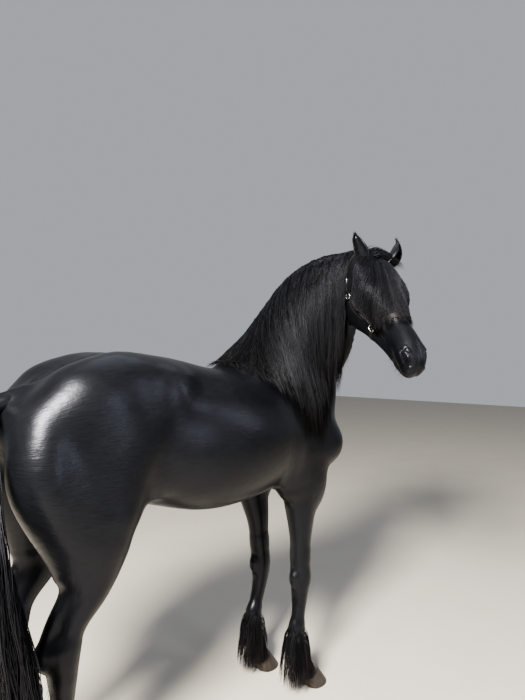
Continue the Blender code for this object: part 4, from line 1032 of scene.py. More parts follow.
def hoof_wall(foot, sides=56):
    _, _, _, sole, y = FEET[foot]
    crown = sole - CROWN_BACK
    top = CORONET - .0005
    turns = np.arange(sides) * 2 * math.pi / sides
    cosine, sine = np.cos(turns), np.sin(turns)
    rings = []
    drops = np.concatenate([[0, .012], np.linspace(.04, .97, 15), [1.0]])
    for drop in drops:
        long = mix(CORONET_REACH, HOOF_REACH, drop)
        wide = mix(.0530, .0665, drop)
        ridge = .0007 * math.sin(drop * 46) * (.12 < drop < .95)
        if drop == 1.0:
            long, wide = long - .0012, wide - .0012
        heel = np.clip(-cosine - .55, 0, 1)
        cleft = .007 * np.exp(-((turns - math.pi) / .22) ** 2) * drop
        x = mix(crown, sole, drop) + cosine * (long + ridge) + heel * mix(.010, .030, drop) + cleft
        if drop == 0:
            x = crown + cosine * (long - .004)
        z = (top + CORONET_SLOPE * (cosine * CORONET_REACH)) * (1 - drop)
        rings.append(np.stack([x, y + sine * (wide + ridge - (.004 if drop == 0 else 0)), z], 1))
    return loft(rings)


def horn(name, dark, light):
    """Hoof horn, grown in fine rings and rasped smooth: a dull slate grey-brown, darker in streaks
    that run down the wall, with dust in the rings."""
    made, tree, shader = material(name, {"Roughness": .55, "Specular IOR Level": .15})
    place = node(tree, "ShaderNodeTexCoord")
    streak = node(tree, "ShaderNodeMapping", {"Vector": place.outputs["Object"]}, {"Scale": (95, 95, 7)})
    run = node(tree, "ShaderNodeTexNoise", {"Vector": streak.outputs["Vector"]},
                {"Scale": 1.0, "Detail": 4.0, "Roughness": .6})
    rings = node(tree, "ShaderNodeMapping", {"Vector": place.outputs["Object"]}, {"Scale": (8, 8, 260)})
    dust = node(tree, "ShaderNodeTexNoise", {"Vector": rings.outputs["Vector"]},
                {"Scale": 1.0, "Detail": 2.0})
    both = node(tree, "ShaderNodeMath", {0: run.outputs["Fac"], 1: dust.outputs["Fac"]},
                operation="MULTIPLY")
    paint = ramp(tree, both.outputs["Value"], (.12, dark), (.42, light))
    tree.links.new(paint, shader.inputs["Base Color"])
    bump = node(tree, "ShaderNodeBump", {"Height": both.outputs["Value"]},
                {"Strength": .35, "Distance": .0012})
    tree.links.new(bump.outputs["Normal"], shader.inputs["Normal"])
    return made


HORN = horn("rasped_hoof_horn", "#13110f", "#2d2823")
for foot in FEET:
    wall = put("horn_" + foot, *hoof_wall(foot), HORN, "horn")
    outward(wall)
    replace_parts(wall, "hoof_" + foot)


# The mane. Long, fine, slightly wavy hair from a band along the crest, which stands a little, folds
# over and falls down the right side of the neck, thick in the middle and shorter at the withers.
def off_skin(points, gap):
    """Points pushed out until they are gap clear of the skin."""
    out = points.copy()
    for i, (p, g) in enumerate(zip(points, gap)):
        spot, face, _, reach = hide.find_nearest(Vector(p))
        if reach > .14:
            continue
        height = (Vector(p) - spot).dot(face)
        if height < g:
            out[i] = p + np.array(face) * (g - height)
    return out


def fallen(roots, first, lengths, gap, fall, steps=17, hold=.75, weight=5.0):
    """Guide hairs that leave their roots the first way, bend over and fall, lying gap off the skin.
    Their points are closer near the root, where they bend most."""
    share = np.linspace(0, 1, steps) ** 1.35
    way = unit(first)
    path = [roots]
    for j in range(1, steps):
        stride = (lengths * (share[j] - share[j - 1]))[:, None]
        pull = min(1.0, .18 + weight * share[j])
        way = unit(way * (1 - hold * pull) + fall * pull)
        for _ in range(2):
            p = off_skin(path[-1] + way * stride, gap * min(1.0, .35 + 2.2 * share[j]))
            way = unit(p - path[-1])
        p = path[-1] + way * stride
        p[:, 2] = np.maximum(p[:, 2], .004)
        path.append(p)
    return np.stack(path, 1)


def comb(guides, rows, columns, place, steps):
    """Hairs between guide hairs that stand in rows and columns, each at a place (row, column)."""
    grid = guides.reshape(rows, columns, -1, 3)
    r = np.clip(place[:, 0], 0, rows - 1.001)
    c = np.clip(place[:, 1], 0, columns - 1.001)
    i, j = r.astype(int), c.astype(int)
    a, b = (r - i)[:, None, None], (c - j)[:, None, None]
    near = grid[i, j] * (1 - b) + grid[i, j + 1] * b
    far = grid[i + 1, j] * (1 - b) + grid[i + 1, j + 1] * b
    full = near * (1 - a) + far * a
    spots = np.linspace(0, full.shape[1] - 1, steps)
    low = np.minimum(spots.astype(int), full.shape[1] - 2)
    t = (spots - low)[None, :, None]
    return full[:, low] * (1 - t) + full[:, low + 1] * t


def shortened(paths, keep):
    """Each hair ends at its own share of its path, with as many points."""
    steps = paths.shape[1]
    spots = np.linspace(0, 1, steps)[None] * keep[:, None] * (steps - 1)
    low = np.minimum(spots.astype(int), steps - 2)
    t = (spots - low)[..., None]
    rows = np.arange(len(paths))[:, None]
    return paths[rows, low] * (1 - t) + paths[rows, low + 1] * t


def gathered(paths, place, lock_width, rng, hold, tip_hold):
    """Draws hairs into locks: each hair nears its lock's middle, more so towards the tips."""
    count = len(paths)
    key = np.floor(place * lock_width[None] + rng.normal(0, .22, place.shape)).astype(int)
    _, group = np.unique(key, axis=0, return_inverse=True)
    group = group.ravel()
    centre = np.zeros((group.max() + 1,) + paths.shape[1:])
    size = np.bincount(group)
    np.add.at(centre, group, paths)
    centre /= size[:, None, None]
    share = np.linspace(0, 1, paths.shape[1])
    pull = (hold + (tip_hold - hold) * share**.8) * (share > 0)
    own = rng.uniform(.6, 1.0, (count, 1, 1))
    return paths + (centre[group] - paths) * pull[None, :, None] * own, group


def waved(paths, group, rng, size, length):
    """Gives each lock its own slow wave, and each hair a little of its own."""
    share = np.linspace(0, 1, paths.shape[1])
    run = np.linalg.norm(np.diff(paths, axis=1), axis=2).sum(1)
    across = unit(np.cross(np.gradient(paths, axis=1), np.array([.3, .2, 1.0]) + 0 * paths))
    level = unit(np.cross(np.gradient(paths, axis=1), across))
    locks = group.max() + 1
    made = paths.copy()
    for way, part in ((across, 1.0), (level, .6)):
        phase = rng.uniform(0, 6.3, locks)[group] + rng.normal(0, .35, len(paths))
        tall = size * part * rng.uniform(.3, 1.3, locks)[group] * rng.uniform(.7, 1.3, len(paths))
        tall = tall * np.minimum(1, run / .5)
        long = length * rng.uniform(.75, 1.4, locks)[group]
        angle = phase[:, None] + 2 * math.pi * run[:, None] * share[None] / long[:, None]
        swell = tall[:, None] * np.minimum(1, share * 3.5)[None]
        made += way * (np.sin(angle) * swell)[..., None]
    return made


def combed(guides, rows, columns, count, rng, steps, cut, locks, hold, wave):
    """Hairs scattered between guide hairs, cut to uneven lengths, drawn into locks and waved, with each
    hair's place among the guides and the number of its lock. The cut is how much the shortest lose and
    the two powers of the spread, the wave its height and length."""
    place = np.stack([rng.uniform(0, rows - 1, count), rng.uniform(0, columns - 1, count)], 1)
    paths = comb(guides, rows, columns, place, steps)
    paths = shortened(paths, 1 - rng.beta(*cut[1:], count) * cut[0])
    paths, group = gathered(paths, place, np.array(locks), rng, .05, hold)
    return waved(paths, group, rng, *wave), place, group


def cleared(paths, first, gap):
    """Hairs whose points, from the first on that is given, lie clear of the skin by a gap."""
    flat = paths[:, first:].reshape(-1, 3)
    clear = off_skin(flat, np.full(len(flat), gap)).reshape(paths[:, first:].shape)
    return np.concatenate([paths[:, :first], clear], 1)


def toned(group, rng, low, high, spread):
    """A tone from 0 to 1 for each hair, near its lock's own."""
    return np.clip(rng.uniform(low, high, group.max() + 1)[group] + rng.normal(0, spread, len(group)), 0, 1)


def hairs(name, paths, width, paint, facing, tones, taper=.30, thick=.55):
    """Tapered three-sided hairs, coarser than life, as one piece. Each hair takes a small patch of
    the skin's unwrap at its root, its tone and its place along the hair."""
    count, steps = paths.shape[:2]
    along = unit(np.gradient(paths, axis=1))
    side = unit(np.cross(along, facing))
    out = np.cross(side, along)
    share = np.linspace(0, 1, steps)
    shape = np.minimum(1, .55 + share * 4) * (1 - (1 - taper) * share**2.2)
    w = width[:, None] * shape[None] / 2
    corners = [side * w[..., None] - out * w[..., None] * thick * .5,
               -side * w[..., None] - out * w[..., None] * thick * .5, out * w[..., None] * thick]
    rings = np.stack([paths + c for c in corners], 2)[:, :-1]
    body = rings.reshape(count, -1, 3)
    points = np.concatenate([body, paths[:, -1:]], 1).reshape(-1, 3)
    each = (steps - 1) * 3 + 1
    faces = []
    for r in range(steps - 2):
        for k in range(3):
            a, b = r * 3 + k, r * 3 + (k + 1) % 3
            faces += [(a, b, b + 3), (a, b + 3, a + 3)]
    last = (steps - 2) * 3
    faces += [(last + k, last + (k + 1) % 3, each - 1) for k in range(3)]
    faces.append((2, 1, 0))
    faces = np.array(faces)
    whole = (faces[None] + (np.arange(count) * each)[:, None, None]).reshape(-1, 3)
    mesh = bpy.data.meshes.new(name)
    mesh.vertices.add(len(points))
    mesh.vertices.foreach_set("co", (points + HOME).astype(np.float32).ravel())
    mesh.loops.add(whole.size)
    mesh.loops.foreach_set("vertex_index", whole.astype(np.int32).ravel())
    mesh.polygons.add(len(whole))
    mesh.polygons.foreach_set("loop_start", (np.arange(len(whole)) * 3).astype(np.int32))
    mesh.update(calc_edges=True)
    tile, turn, run = skin_place(paths[:, 0])
    x, y, tw, th = TILES[tile].T
    root = np.stack([x + tw * (turn + .5), y + th * run], 1)
    ring_of = np.append(np.repeat(np.arange(steps - 1), 3), steps - 1) / (steps - 1)
    corner_of = np.append(np.tile(np.arange(3), steps - 1), 1) / 2
    patch = np.stack([corner_of, ring_of], 1) * .003
    uv = (root[:, None] + patch[None] - .0015).reshape(-1, 2)
    layer = mesh.uv_layers.new(name="OFBake")
    layer.data.foreach_set("uv", np.clip(uv[whole.ravel()], 0, 1).astype(np.float32).ravel())
    for key, values in (("tone", tones[:, None] + 0 * ring_of[None]),
                        ("reach", 0 * tones[:, None] + ring_of[None])):
        store = mesh.attributes.new(key, "FLOAT", "POINT")
        store.data.foreach_set("value", values.astype(np.float32).ravel())
    mesh.materials.append(paint)
    mesh.shade_smooth()
    piece = shown(name, mesh)
    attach(piece, "root")


def long_hair(name, dark, light, tip, rough):
    """Grown, washed and combed horse hair: smooth round hairs that catch light in thin bright lines,
    near black with a grey gleam, a few browned by the sun towards their tips."""
    made, tree, shader = material(name, {
        "Roughness": rough, "Specular IOR Level": .05, "Specular Tint": colour("#e8edff")})
    tone = node(tree, "ShaderNodeAttribute", attribute_name="tone")
    reach = node(tree, "ShaderNodeAttribute", attribute_name="reach")
    paint = ramp(tree, tone.outputs["Fac"], (.25, dark), (.95, light))
    end = node(tree, "ShaderNodeMath", {0: reach.outputs["Fac"]}, {1: 3.0}, operation="POWER")
    some = node(tree, "ShaderNodeMath", {0: end.outputs["Value"], 1: tone.outputs["Fac"]},
                operation="MULTIPLY")
    # a colour mix keeps its colours in its seventh and eighth inputs and its third output
    blend = node(tree, "ShaderNodeMix", {0: some.outputs["Value"], 6: paint},
                 {7: colour(tip)}, data_type="RGBA")
    tree.links.new(blend.outputs[2], shader.inputs["Base Color"])
    return made


MANE_HAIRS = 6200
MANE_WIDTH = 0.0030     # a real hair is 0.1 mm thick; each here stands for a few dozen side by side
# place along the neck's line, from the withers to the poll, and the hair's length there
MANE_LENGTHS = ((11, .10), (17, .26), (25, .46), (31, .64), (35, .79), (41, 1.00), (49, 1.10), (57, 1.06),
                (65, .90), (70, .78))
MANE_HAIR = long_hair("combed_mane_hair", "#020203", "#0b0c0f", "#0e0d0c", .36)


def skin_from(points, axis=HEAD_AXIS, shapes=HEAD_FLESH, reach=.26):
    """Where rays from the head's axis through points of its frame come out of the flesh."""
    points = np.array(points, float)
    start = points * [1, 0, 0] + [0, 0, axis]
    way = unit(points - start) @ HEAD.axes
    start = HEAD.world(start)
    near, far = np.zeros(len(start)), np.full(len(start), reach)
    for _ in range(16):
        middle = (near + far) / 2
        out = field(shapes, start + way * middle[:, None]) > 0
        far, near = np.where(out, middle, far), np.where(out, near, middle)
    return start + way * near[:, None]


def mane_guides(rng):
    """Guide hairs from the crest, then from behind the near ear down the rear of the crown strap: a
    row for each place along that line, a column for each layer outward."""
    rows = np.linspace(11, 70, 46)
    layers = np.array([-1.0, -.35, .35, 1.0])
    at = rows.astype(int)
    crest = neck_mid[at] + neck_plus[at] * (neck_size[at, 1:2] - .012)
    length = np.interp(rows, *zip(*MANE_LENGTHS))
    front = [(-.080, -.004, .0), (-.086, -.024, -.004), (-.088, -.045, -.016), (-.086, -.062, -.034),
             (-.080, -.074, -.058), (-.070, -.084, -.084)]
    behind_ear = skin_from(front, shapes=FLESH) - slope(FLESH, skin_from(front, shapes=FLESH)) * .010
    side = np.vstack([neck_side[at], np.repeat(neck_side[-1:], len(front), 0)])
    lift = np.interp(rows, (52, 68), (1.0, .40))[:, None]
    up = np.vstack([neck_plus[at] * lift, slope(FLESH, behind_ear) * .30])
    middle = np.vstack([crest, behind_ear])
    length = np.append(length, [.76, .74, .70, .66, .60, .52])
    width = np.append(np.ones(len(rows)), [.6, .5, .5, .5, .5, .5])[:, None]
    paths = []
    for layer in layers:
        roots = middle - side * (.006 + .010 * layer) * width
        first = up * (.95 + .30 * layer) - side * (.80 - .15 * layer) * width
        gap = (.008 + .010 * (layer + 1)) * width[:, 0]
        fall = np.array([0, 0, -1.0]) - side * .04
        paths.append(fallen(roots, first, length * (1 + .03 * layer), gap, fall))
    stacked = np.stack(paths, 1)
    drift = rng.normal(0, 1, (len(middle), 1, 3)) * [.010, .010, .004]
    share = np.linspace(0, 1, stacked.shape[2])[None, None, :, None]
    stacked = stacked + drift[:, :, None] * share
    return stacked, len(middle), len(layers)


def mane_hair():
    rng = np.random.default_rng(71)
    guides, rows, columns = mane_guides(rng)
    paths, place, group = combed(guides, rows, columns, MANE_HAIRS, rng, steps=11, cut=(.75, 1.3, 5.0),
                                 locks=(1.5, .8), hold=.62, wave=(.0070, .115))
    paths = cleared(paths, 1, .004)
    tones = toned(group, rng, .15, .75, .16)
    width = MANE_WIDTH * rng.uniform(.7, 1.35, MANE_HAIRS)
    near = np.clip(np.round(11 + place[:, 0] / (rows - 1) * 66).astype(int), 0, len(neck_side) - 1)
    facing = np.repeat((-neck_side[near] + neck_plus[near] * .25)[:, None], paths.shape[1], 1)
    half = MANE_HAIRS // 2
    for name, part in (("mane_under", slice(0, half)), ("mane_over", slice(half, None))):
        hairs(name, paths[part], width[part], MANE_HAIR, facing[part], tones[part])


mane_hair()


# The forelock. Finer hair from between the ears, combed over the right side of the face as far down as
# the noseband, with a short tuft that stands at the poll.
FORELOCK_HAIRS = 3300
FORELOCK_WIDTH = 0.0026
FORELOCK_HAIR = long_hair("combed_forelock_hair", "#030304", "#0d0e12", "#100f0e", .38)


def forelock_guides(rng):
    """Guide hairs that fan out from the tuft between the ears. Each runs down the brow on its own
    way and, once it is over the side of the face, hangs straight down across the cheek."""
    fan = np.linspace(-1, .30, 21)
    x, round_it = .012 + 0 * fan, .016 * fan
    length = np.interp(np.abs(fan), (0, .35, 1), (.47, .45, .35))
    steps = 17
    spots = []
    for _ in range(steps):
        spots.append(np.stack([x, round_it], 1))
        over = np.clip((np.abs(round_it) - .02) / .06, 0, 1)
        turn = fan * 1.35 * (1 - over) + np.sign(fan) * .70 * over
        x = x + np.cos(turn) * length / (steps - 1)
        round_it = round_it + np.sin(turn) * length / (steps - 1)
    spots = np.stack(spots, 1)
    angle = np.clip(spots[..., 1] / .092, -2.0, 2.0)
    rays = np.stack([spots[..., 0], np.sin(angle) * .1, np.cos(angle) * .1 + HEAD_AXIS], -1)
    skin_spots = skin_from(rays.reshape(-1, 3))
    out = slope(HEAD_FLESH, skin_spots)
    share = np.linspace(0, 1, steps)
    paths = []
    for layer in (0, 1, 2):
        gap = .005 + .0075 * layer + .012 * np.sin(np.pi * np.clip(share / .4, 0, 1)) * (1 + .6 * layer)
        gap = np.where(share == 0, -.008, gap)
        paths.append((skin_spots + out * np.tile(gap, len(fan))[:, None]).reshape(len(fan), steps, 3))
    stacked = np.stack(paths, 1)
    return stacked + rng.normal(0, .005, (len(fan), 1, 1, 3)) * share[None, None, :, None]


def crown_tuft(rng, count=420):
    """Short hair that stands at the poll between the ears and blows a little to the left."""
    spots = np.stack([rng.uniform(-.030, .040, count), rng.normal(.012, .016, count), np.zeros(count)], 1)
    skin_spots = skin_from(spots, shapes=FLESH)
    roots = skin_spots - slope(FLESH, skin_spots) * .006
    first = np.array([.10, -.06, 1.0]) + rng.normal(0, .16, roots.shape)
    fall = np.array([.62, -.50, -.60]) + 0 * roots
    lengths = rng.uniform(.08, .17, count)
    return fallen(roots, first, lengths, np.full(count, .004), fall, steps=10, hold=.42, weight=.9)


def forelock_hair():
    rng = np.random.default_rng(37)
    guides = forelock_guides(rng)
    rows, columns = guides.shape[:2]
    paths, _, group = combed(guides, rows, columns, FORELOCK_HAIRS, rng, steps=10, cut=(.50, 1.2, 3.6),
                             locks=(1.3, .9), hold=.55, wave=(.0040, .10))
    paths = np.concatenate([paths, crown_tuft(rng)])
    group = np.append(group, group.max() + 1 + np.arange(len(paths) - len(group)) // 8)
    paths = cleared(paths, 1, .003)
    tones = toned(group, rng, .1, .7, .15)
    facing = slope(HEAD_FLESH, paths[:, 4])[:, None] + 0 * paths
    width = FORELOCK_WIDTH * rng.uniform(.7, 1.3, len(paths))
    hairs("forelock", paths, width, FORELOCK_HAIR, facing, tones)


forelock_hair()


# The tail. Coarse wavy hair grown from a fleshy dock, full from the top, hanging clear of the hocks
# almost to the floor.
TAIL_HAIRS = 4600
TAIL_WIDTH = 0.0034
TAIL_ASIDE = -0.300     # how far the hanging tail swings to the horse's right
TAIL_HAIR = long_hair("combed_tail_hair", "#030304", "#0e0f12", "#12100f", .38)


def dock():
    """The haired root of the tail, from inside the croup to where the hair hides it."""
    line = [(-.690, 0, 1.485, .040, .036, .040), (-.760, 0, 1.478, .041, .035, .041),
            (-.825, 0, 1.440, .035, .031, .035), (-.868, 0, 1.350, .031, .027, .029),
            (-.880, 0, 1.240, .025, .021, .023)]
    mid, size, _, _, side, plus = follow(line, 4)
    turns = np.arange(20) * 2 * math.pi / 20
    rings = []
    for m, z, s, p in zip(mid, size, side, plus):
        rings.append(m + np.outer(np.cos(turns), s) * z[0] + np.outer(np.sin(turns), p) * z[1])
    return loft(rings)


def tail_hair():
    rng = np.random.default_rng(53)
    heart = catmull([(-.772, 0, 1.500), (-.822, 0, 1.462), (-.868, 0, 1.385), (-.884, 0, 1.290),
                     (-.884, 0, 1.225)], 5)
    rows, columns = 9, 13
    guides = []
    for i in range(rows):
        back = i / (rows - 1)
        root = heart[int(round((1 - back) * (len(heart) - 1)))]
        for j in range(columns):
            across = 2 * j / (columns - 1) - 1
            edge = math.sqrt(1 - (.92 * across) ** 2)
            swing = rng.normal(0, .009, (3, 2))
            deep = .012 + .070 * back * edge
            guides.append(catmull([
                root + np.array([-.020 * edge * back, across * .030, 0]),
                (root[0] - .018 - .030 * back, across * .050 + TAIL_ASIDE * .10 * back, root[2] - .060),
                (-.846 - deep * .9, across * .104 + TAIL_ASIDE * (.45 + .40 * back) + swing[0, 1], 1.10),
                (-.816 - deep + swing[1, 0], across * .135 + TAIL_ASIDE + swing[1, 1], .72),
                (-.806 - deep + swing[2, 0], across * .145 + TAIL_ASIDE + swing[2, 1], .38),
                (-.800 - deep, across * .135 + TAIL_ASIDE * 1.05 + swing[0, 0], .045)], 5))
    guides = np.array(guides)
    paths, place, group = combed(guides, rows, columns, TAIL_HAIRS, rng, steps=13, cut=(.60, 1.1, 4.0),
                                 locks=(.9, 1.1), hold=.66, wave=(.0120, .17))
    paths = cleared(paths, 3, .005)
    paths[:, :, 2] = np.maximum(paths[:, :, 2], .012)
    tones = toned(group, rng, .1, .75, .16)
    width = TAIL_WIDTH * rng.uniform(.7, 1.35, TAIL_HAIRS)
    facing = np.zeros(paths.shape) + [-1.0, 0, .1]
    facing[..., 1] = (place[:, 1:] / (columns - 1) * 2 - 1) * 1.2
    half = TAIL_HAIRS // 2
    for name, part in (("tail_under", slice(0, half)), ("tail_over", slice(half, None))):
        hairs(name, paths[part], width[part], TAIL_HAIR, facing[part], tones[part])


dock_points, dock_faces = dock()
dock_piece = put("dock", dock_points, dock_faces, COAT, "coat")
unwrap(dock_piece.data, dock_points, dock_faces)
outward(dock_piece)
tail_hair()
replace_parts(dock_piece, "tail")


# The feathers. Long silky hair from the back and sides of each fetlock and pastern, which falls over
# the heel to the ground and leaves the front of the hoof bare.
FEATHER_HAIRS = 850
FEATHER_WIDTH = 0.0024
FEATHER_HAIR = long_hair("feather_hair", "#030304", "#0f0f11", "#151311", .42)


def feather(foot):
    rng = np.random.default_rng(len(foot) * 5 + 3 * ("left" in foot))
    _, _, fetlock, sole, y = FEET[foot]
    crown = sole - CROWN_BACK
    columns = 13
    turns = np.radians(np.linspace(-128, 128, columns))
    out = np.stack([-np.cos(turns), np.sin(turns), 0 * turns], 1)
    # height of each row's roots, its hairs' length, and how far they stand off
    rows = ((.115, .105, .30), (.150, .140, .34), (.190, .175, .36), (.232, .212, .34), (.275, .240, .24),
            (.315, .225, .12))
    guides = []
    for height, length, lean in rows:
        lower = max(0.0, (FETLOCK - height) / (FETLOCK - CORONET))
        heart = np.array([mix(fetlock, crown, lower), y, height])
        roots = []
        for way in out:
            hit = hide.ray_cast(Vector(heart + way * .20), Vector(-way))
            roots.append(np.array(hit[0]) - way * .004 if hit[0] else heart + way * .04)
        full = .42 + .58 * np.cos(turns / 2) ** 1.5
        gap = np.full(columns, .004 + .05 * (height - .1))
        fall = np.array([0, 0, -1.0]) + out * .16
        first = out * (lean + .22) - np.array([0, 0, 1.0])
        guides.append(fallen(np.array(roots), first, length * full, gap, fall, steps=12, weight=2.2))
    guides = np.stack(guides)
    # over the hoof the hair lies outside the horn
    low = guides[..., 2] < .085
    from_axis = guides[..., :2] - [sole - .02, y]
    reach = np.linalg.norm(from_axis, axis=-1)
    need = .068 + .004 * np.arange(len(rows))[:, None, None] / len(rows)
    grow = np.where(low & (reach < need), need / np.maximum(reach, 1e-6), 1.0)
    guides[..., :2] = [sole - .02, y] + from_axis * grow[..., None]
    paths, place, group = combed(guides, len(rows), columns, FEATHER_HAIRS, rng, steps=9,
                                 cut=(.5, 1.2, 4.0), locks=(.8, 1.1), hold=.68, wave=(.0035, .08))
    paths[..., 2] = np.maximum(paths[..., 2], .004)
    tones = toned(group, rng, .1, .75, .18)
    facing = np.zeros(paths.shape)
    angle = np.radians(place[:, 1] / (columns - 1) * 256 - 128)
    facing[..., 0] = -np.cos(angle)[:, None]
    facing[..., 1] = np.sin(angle)[:, None]
    facing[..., 2] = .2
    width = FEATHER_WIDTH * rng.uniform(.7, 1.3, FEATHER_HAIRS)
    hairs("feather_" + foot, paths, width, FEATHER_HAIR, facing, tones)


for foot in FEET:
    feather(foot)


# The short tufts. Soft fringes along the rims of the ears, sparse hair down the tendons at the back of
# all four legs, whiskers on the chin and lips, and lashes over the eyes.
TUFT_WIDTH = 0.0012


def tufts(name, roots, ways, lengths, rng, width=TUFT_WIDTH, droop=.5, spread=.18):
    """Short hairs that leave their roots along ways and droop."""
    count = len(roots)
    steps = 6
    way = unit(ways + rng.normal(0, spread, (count, 3)))
    path = [roots]
    for j in range(1, steps):
        way = unit(way + np.array([0, 0, -1.0]) * droop * j / steps)
        path.append(path[-1] + way * (lengths / (steps - 1))[:, None])
    paths = np.stack(path, 1)
    facing = np.cross(ways, [.31, .52, .17])[:, None] + 0 * paths
    tones = rng.uniform(.1, .6, count)
    hairs(name, paths, width * rng.uniform(.8, 1.2, count), FEATHER_HAIR, facing, tones)


tuft_rng = np.random.default_rng(97)
for side, hand in ((1, "left"), (-1, "right")):
    fringe_rings, _ = ear_shell(side)
    spots, ways = [], []
    for j in range(5, 24):
        ring = fringe_rings[j]
        centre = ring.mean(0)
        climb = unit(fringe_rings[min(j + 1, 24)].mean(0) - centre)
        for k in (0, 25):
            for _ in range(8):
                mixed = ring[k] * .9 + centre * .1 + tuft_rng.normal(0, .0012, 3)
                spots.append(mixed)
                ways.append(unit(centre - ring[k]) * .55 + climb * .9)
        for _ in range(6):
            spots.append(ring[tuft_rng.integers(30, 46)])
            ways.append(climb + HEAD.axes[2] * .5)
    spots = np.array(spots)
    tufts("ear_fringe_" + hand, spots, np.array(ways), tuft_rng.uniform(.012, .026, len(spots)), tuft_rng,
          droop=.05)

spots, ways = [], []
for foot in FEET:
    kx, ky, fetlock, _, sy = FEET[foot]
    joint = HOCK if foot.startswith("hind") else KNEE
    for _ in range(110):
        z = tuft_rng.uniform(FETLOCK + .07, joint - .06)
        t = (z - FETLOCK) / (joint - FETLOCK)
        heart = Vector((mix(fetlock, kx, t), mix(sy, ky, t), z))
        swing = tuft_rng.normal(0, .30)
        way = np.array([-math.cos(swing), math.sin(swing), 0])
        hit = hide.ray_cast(heart + Vector(way) * .2, Vector(-way))
        if hit[0] is None:
            continue
        spots.append(np.array(hit[0]) - way * .001)
        ways.append(way * .55 + np.array([0, 0, -1.0]))
spots = np.array(spots)
tufts("tendon_tufts", spots, np.array(ways), tuft_rng.uniform(.018, .040, len(spots)), tuft_rng,
      width=.0018, droop=.7)

spots, ways = [], []
for _ in range(120):
    x = tuft_rng.uniform(.49, .615)
    turn = tuft_rng.uniform(-2.2, 2.2) + math.pi
    way = np.array([0, math.sin(turn), math.cos(turn)]) @ HEAD.axes
    heart = HEAD.world([x, 0, -.115])
    hit = hide.ray_cast(Vector(heart + way * .15), Vector(-way))
    if hit[0] is not None:
        spots.append(np.array(hit[0]) - way * .001)
        ways.append(way + HEAD.axes[0] * .5)
spots = np.array(spots)
tufts("whiskers", spots, np.array(ways), tuft_rng.uniform(.010, .034, len(spots)), tuft_rng, width=.0008,
      droop=.25)

spots, ways = [], []
for side in (1, -1):
    x, y, z = EYE_AT
    for share in np.linspace(0, 1, 44):
        lid = catmull([(x + .024, y + .008, z - .006), (x + .010, y + .0215, z + .0105),
                       (x - .008, y + .0225, z + .0145), (x - .026, y + .010, z + .006)], 4)
        spot = lid[int(share * (len(lid) - 1))] + tuft_rng.normal(0, .0008, 3)
        spots.append(HEAD.world(spot * [1, side, 1]))
        ways.append(np.array([.15 - .3 * share, side * 1.0, .25]) @ HEAD.axes)
spots = np.array(spots)
tufts("eyelashes", spots, np.array(ways), tuft_rng.uniform(.010, .018, len(spots)), tuft_rng, width=.0007,
      droop=.35, spread=.08)


# The chestnuts. A rough horny patch on the inner side of each leg, above the knee and below the hock,
# grown like hoof horn but drier and greyer.
DRY_HORN = horn("dry_grown_horn", "#0d0c0b", "#1b1917")


def chestnut(foot):
    kx, ky = FEET[foot][:2]
    z = HOCK - .085 if foot.startswith("hind") else KNEE + .165
    inward = -math.copysign(1, ky)
    heart = Vector((kx + .004, ky, z))
    hit = hide.ray_cast(heart + Vector((0, inward * .14, 0)), Vector((0, -inward, 0)))
    if hit[0] is None:
        return
    middle, face = np.array(hit[0]), np.array(hit[1])
    up = unit(np.array([0, 0, 1.0]) - face * face[2])
    level = np.cross(up, face)
    rng = np.random.default_rng(len(foot))
    rings = []
    turns = np.arange(18) * 2 * math.pi / 18
    for tall, share in ((-.004, 1.0), (.0006, .98), (.0022, .85), (.0032, .60), (.0036, .28)):
        rough = 1 + rng.normal(0, .05, 18)
        rings.append(middle + face * tall + np.outer(np.cos(turns) * rough, up) * .017 * share
                     + np.outer(np.sin(turns) * rough, level) * .010 * share)
    outward(put("chestnut_" + foot, *loft(rings), DRY_HORN, "horn"))


for foot in FEET:
    chestnut(foot)


# The halter. A headcollar of black bridle leather, cut from one hide 4 mm thick, edges rounded and
# dyed, with two rows of waxed thread, sewn round steel rings at the jowls and the nose.
STRAP_THICK = 0.004
STRAP_SINK = 0.0012     # how deep a strap lies in the coat
SEAM_INSET = 0.0028     # from a strap's edge to its row of thread


def strap_line(points, shapes=HEAD_FLESH):
    """A strap's middle on the flesh, smoothed as leather bridges small hollows, and its directions."""
    line = skin_from(catmull(points, 2), shapes=shapes)
    line = catmull(line, 5)
    for _ in range(4):
        line[1:-1] = line[1:-1] * .5 + (line[:-2] + line[2:]) * .25
    face = slope(shapes, line)
    for _ in range(4):
        face[1:-1] = unit(face[1:-1] * .5 + (face[:-2] + face[2:]) * .25)
    along = unit(np.gradient(line, axis=0))
    return line, face, along, unit(np.cross(along, face))


def strap_section(width):
    """Half-rounded edges and a slightly crowned face, as (across, height) pairs."""
    w, t = width / 2, STRAP_THICK
    low = [(-w + .0012, 0), (-w * .5, 0), (0, 0), (w * .5, 0), (w - .0012, 0)]
    edge = [(w - .0003, t * .22), (w, t * .5), (w - .0003, t * .78)]
    high = [(w - .0014, t * .97), (w * .72, t * 1.04), (w * .62, t * .97), (w * .3, t * 1.05),
            (0, t * 1.08)]
    return low + edge + high + [(-a, b) for a, b in high[-2::-1]] + [(-a, b) for a, b in edge[::-1]]


